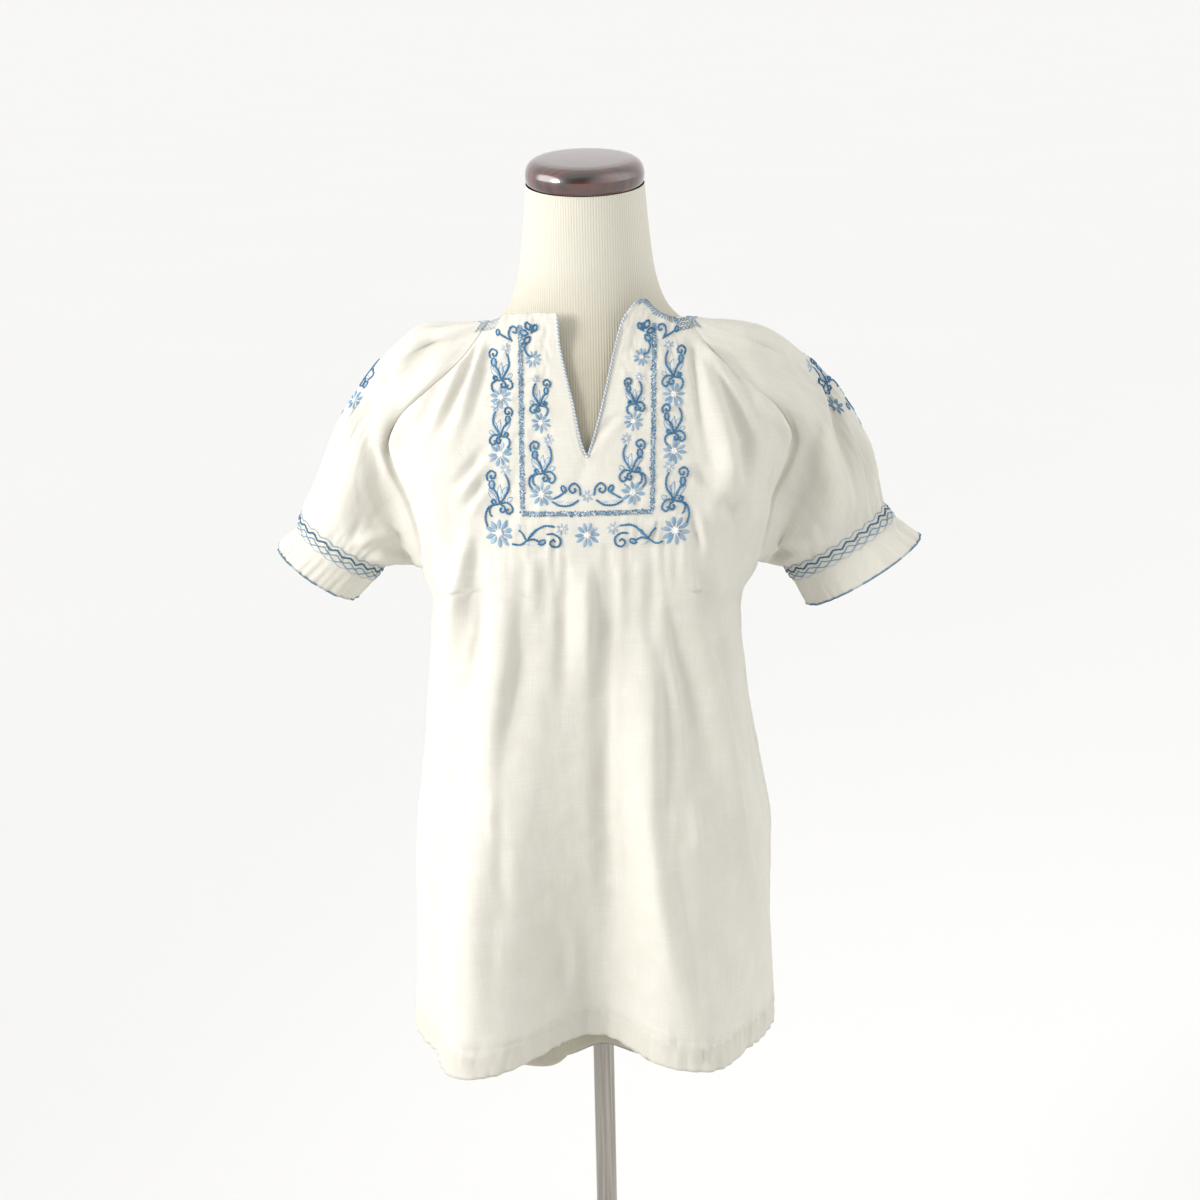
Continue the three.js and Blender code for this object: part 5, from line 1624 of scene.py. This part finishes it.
def thread_finish():
    """Embroidery cotton in the tint of each stitch, with its ply, painted shade in the grooves between the
    plies, and a satin gloss.
    """
    finish = Finish("embroidery_thread", Roughness=0.45, Specular_IOR_Level=0.4, Sheen_Weight=0.1,
                    Sheen_Roughness=0.35)
    tint = finish.add("Attribute", attribute_name="tint").outputs["Color"]
    fibres = finish.wave(0.00042, "X")
    fade = finish.noise(300, detail=2.0)
    colour = finish.mix(finish.grey(fade, 0, 0.06, 0.3, 0.75), tint, (0.75, 0.8, 0.86, 1), "SCREEN")
    # Painted shade: where the fibre wave sinks between the plies the colour is mixed towards dark blue.
    colour = finish.mix(finish.grey(fibres, 0.22, 0), colour, (0.03, 0.12, 0.26, 1))
    finish.fill(finish.shader, {"Base Color": colour, "Normal": finish.bump(fibres, 0.0001, 0.8)})
    return finish.material


def jersey_finish():
    """The form's cover: cream knit with fine upright ribs, with painted shade in the rib grooves and painted
    shade that darkens it below the neck.
    """
    finish = Finish("ribbed_jersey", Roughness=0.93, Specular_IOR_Level=0.2, Sheen_Weight=0.2,
                    Sheen_Roughness=0.6)
    ribs = finish.wave(0.0026, "X")
    loops = finish.wave(0.0015, "Y")
    # Painted shade: the rib colour is darker in the grooves, where the bump from the same wave sinks.
    shade = finish.ramp(ribs, (0.54, 0.515, 0.435), (0.625, 0.60, 0.52), 0.05, 0.75)
    mottle = finish.grey(finish.noise(45, detail=4.0), 0, 0.3, 0.35, 0.75)
    shade = finish.mix(mottle, shade, (0.56, 0.535, 0.455, 1))
    # Painted shade: the knit darkens below 1.38 m, fully from 1.29 m down, standing in for the shade under
    # the blouse and inside the throat slit.
    half_height = finish.math("MULTIPLY", finish.add("SeparateXYZ", {0: finish.uv}).outputs["Y"], 0.5)
    painted_shade_below_neck = finish.ramp(half_height, (0.74, 0.72, 0.66), (1, 1, 1), 0.645, 0.69)
    shade = finish.mix(1.0, shade, painted_shade_below_neck, "MULTIPLY")
    loop_bump = finish.bump(loops, 0.00012, 0.5)
    finish.fill(finish.shader, {"Base Color": shade, "Normal": finish.bump(ribs, 0.0003, 0.8, loop_bump)})
    return finish.material


def wood_finish():
    """Dark red mahogany under a thick clear varnish."""
    finish = Finish("varnished_mahogany", Roughness=0.3, Coat_Weight=1.0, Coat_Roughness=0.04,
                    Coat_IOR=1.8, Specular_IOR_Level=0.5)
    place = finish.object_place()
    grain = finish.noise(26, (1, 9, 2.5), 6.0, place)
    fine = finish.noise(210, (0.6, 9, 2), 3.0, place)
    wood = finish.ramp(grain, (0.010, 0.002, 0.001), (0.12, 0.020, 0.008), 0.35, 0.75)
    wood = finish.mix(finish.grey(fine, 0.45, 0, 0.3, 0.6), wood, (0.015, 0.003, 0.002, 1))
    finish.fill(finish.shader, {"Base Color": wood, "Normal": finish.bump(fine, 0.00008, 0.3)})
    return finish.material


def chrome_finish():
    """Polished steel tube with fine draw lines and a few dull patches."""
    finish = Finish("chrome_tube", Metallic=1.0)
    place = finish.object_place()
    lines = finish.noise(420, (1, 1, 0.02), 3.0, place)
    dull = finish.noise(24, (1, 1, 1), 4.0, place)
    colour = finish.ramp(lines, (0.26, 0.24, 0.21), (0.46, 0.43, 0.39), 0.3, 0.7)
    rough = finish.grey(dull, 0.04, 0.14, 0.4, 0.7)
    finish.fill(finish.shader, {"Base Color": colour, "Roughness": rough,
                                "Normal": finish.bump(lines, 0.00002, 0.4)})
    return finish.material


def floor_finish():
    """Matt pale paper, very slightly uneven."""
    finish = Finish("studio_floor", Roughness=0.9, Specular_IOR_Level=0.1)
    unevenness = finish.noise(0.7, (1, 1, 1), 2.0, finish.object_place())
    shade = finish.ramp(unevenness, (0.775, 0.775, 0.77), (0.79, 0.79, 0.785))
    finish.fill(finish.shader, {"Base Color": shade})
    return finish.material


# ------------------------------------------------------------------ stage, lights and camera
FLOOR_HALF = 400.0           # metres: the floor runs to the horizon
CAMERA_PLACE = (0.006, -2.1148, 1.6504)
CAMERA_PITCH = math.radians(16)
CAMERA_ROLL = math.radians(1.2)
LENS = 66
# Parts of the room's light: direction, nearness where it starts and is full, strength away and there.
ROOM = ((0.16, -0.98, -0.1), 0.35, 0.92, 1.0, 0.2)         # dim behind the camera
WINDOW = ((-0.96, -0.20, 0.18), 0.86, 0.97, 0.0, 4.2)      # bright, low on the left
BOUNCE = ((0.84, -0.53, 0.08), 0.45, 0.95, 0.0, 1.15)      # thrown back from the right


def studio_floor(material):
    reach = FLOOR_HALF / MM
    points = [(-reach, -reach, 0), (reach, -reach, 0), (reach, reach, 0), (-reach, reach, 0)]
    floor = make_object("studio_floor", points, [(0, 1, 2, 3)], None, None, material)


def area_light(name, place, target, size, power, colour, spread):
    light = bpy.data.lights.new(name, "AREA")
    light.shape = "DISK"
    light.size = size
    light.energy = power
    light.color = colour
    light.spread = math.radians(spread)
    lamp = bpy.data.objects.new(name, light)
    lamp.location = place
    lamp.rotation_euler = (Vector(target) - Vector(place)).to_track_quat("-Z", "Y").to_euler()
    bpy.context.scene.collection.objects.link(lamp)


def facing(tree, direction, start, full, away, there):
    """A value that passes from away to there as the sky turns towards a direction."""
    place = tree.nodes.new("ShaderNodeTexCoord")
    towards = tree.nodes.new("ShaderNodeVectorMath")
    towards.operation = "DOT_PRODUCT"
    towards.inputs[1].default_value = Vector(direction).normalized()
    rise = tree.nodes.new("ShaderNodeMapRange")
    rise.interpolation_type = "SMOOTHSTEP"
    for socket, value in zip(("From Min", "From Max", "To Min", "To Max"), (start, full, away, there)):
        rise.inputs[socket].default_value = value
    tree.links.new(place.outputs["Generated"], towards.inputs[0])
    tree.links.new(towards.outputs["Value"], rise.inputs["Value"])
    return rise.outputs["Result"]


def studio_lights():
    """A pale room, dimmer behind the camera, with a window on the left and a soft lamp."""
    area_light("lamp_left", (-2.3, -1.5, 1.9), (0, 0, 1.1), 0.9, 6, (1.0, 0.985, 0.96), 60)
    world = bpy.data.worlds.new("studio")
    world.use_nodes = True
    tree = world.node_tree
    total, *others = (facing(tree, *part) for part in (ROOM, WINDOW, BOUNCE))
    for part in others:
        plus = tree.nodes.new("ShaderNodeMath")
        tree.links.new(total, plus.inputs[0])
        tree.links.new(part, plus.inputs[1])
        total = plus.outputs[0]
    tree.links.new(total, tree.nodes["Background"].inputs["Strength"])
    tree.nodes["Background"].inputs["Color"].default_value = (1.0, 0.995, 0.985, 1)
    bpy.context.scene.world = world


def studio_camera():
    data = bpy.data.cameras.new("camera")
    data.lens = LENS
    data.sensor_width = 36
    data.clip_end = 2 * FLOOR_HALF
    camera = bpy.data.objects.new("camera", data)
    look = Matrix.Rotation(math.pi / 2 - CAMERA_PITCH, 4, "X") @ Matrix.Rotation(-CAMERA_ROLL, 4, "Z")
    camera.matrix_world = Matrix.Translation(CAMERA_PLACE) @ look
    bpy.context.scene.collection.objects.link(camera)
    bpy.context.scene.camera = camera
    bpy.context.scene.view_settings.view_transform = "Standard"


# ------------------------------------------------------------------ the whole
studio_camera()
studio_lights()
studio_floor(floor_finish())

cotton = cotton_finish()
thread = thread_finish()
form = dress_form(jersey_finish())
neck_cap(wood_finish())
chrome = chrome_finish()
pole(chrome)
stand_base(chrome)
front, front_grids = blouse_front(cotton)
back, back_grid = blouse_back(cotton)
left, left_grid, left_around = sleeve(-1, cotton)
right, right_grid, right_around = sleeve(1, cotton)
front_threads = [*yoke_embroidery(front_chart(front), thread), slit_cords(front_grids, thread)]
front_threads += neck_stitches(front_grids, back_grid, {-1: left_grid, 1: right_grid}, thread)
left_threads, right_threads = (
    [*cuff_stitches(side, grid, thread), sleeve_sprig(side, grid, around, thread)]
    for side, grid, around in ((-1, left_grid, left_around), (1, right_grid, right_around))
)

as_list(left_threads)
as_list(right_threads)
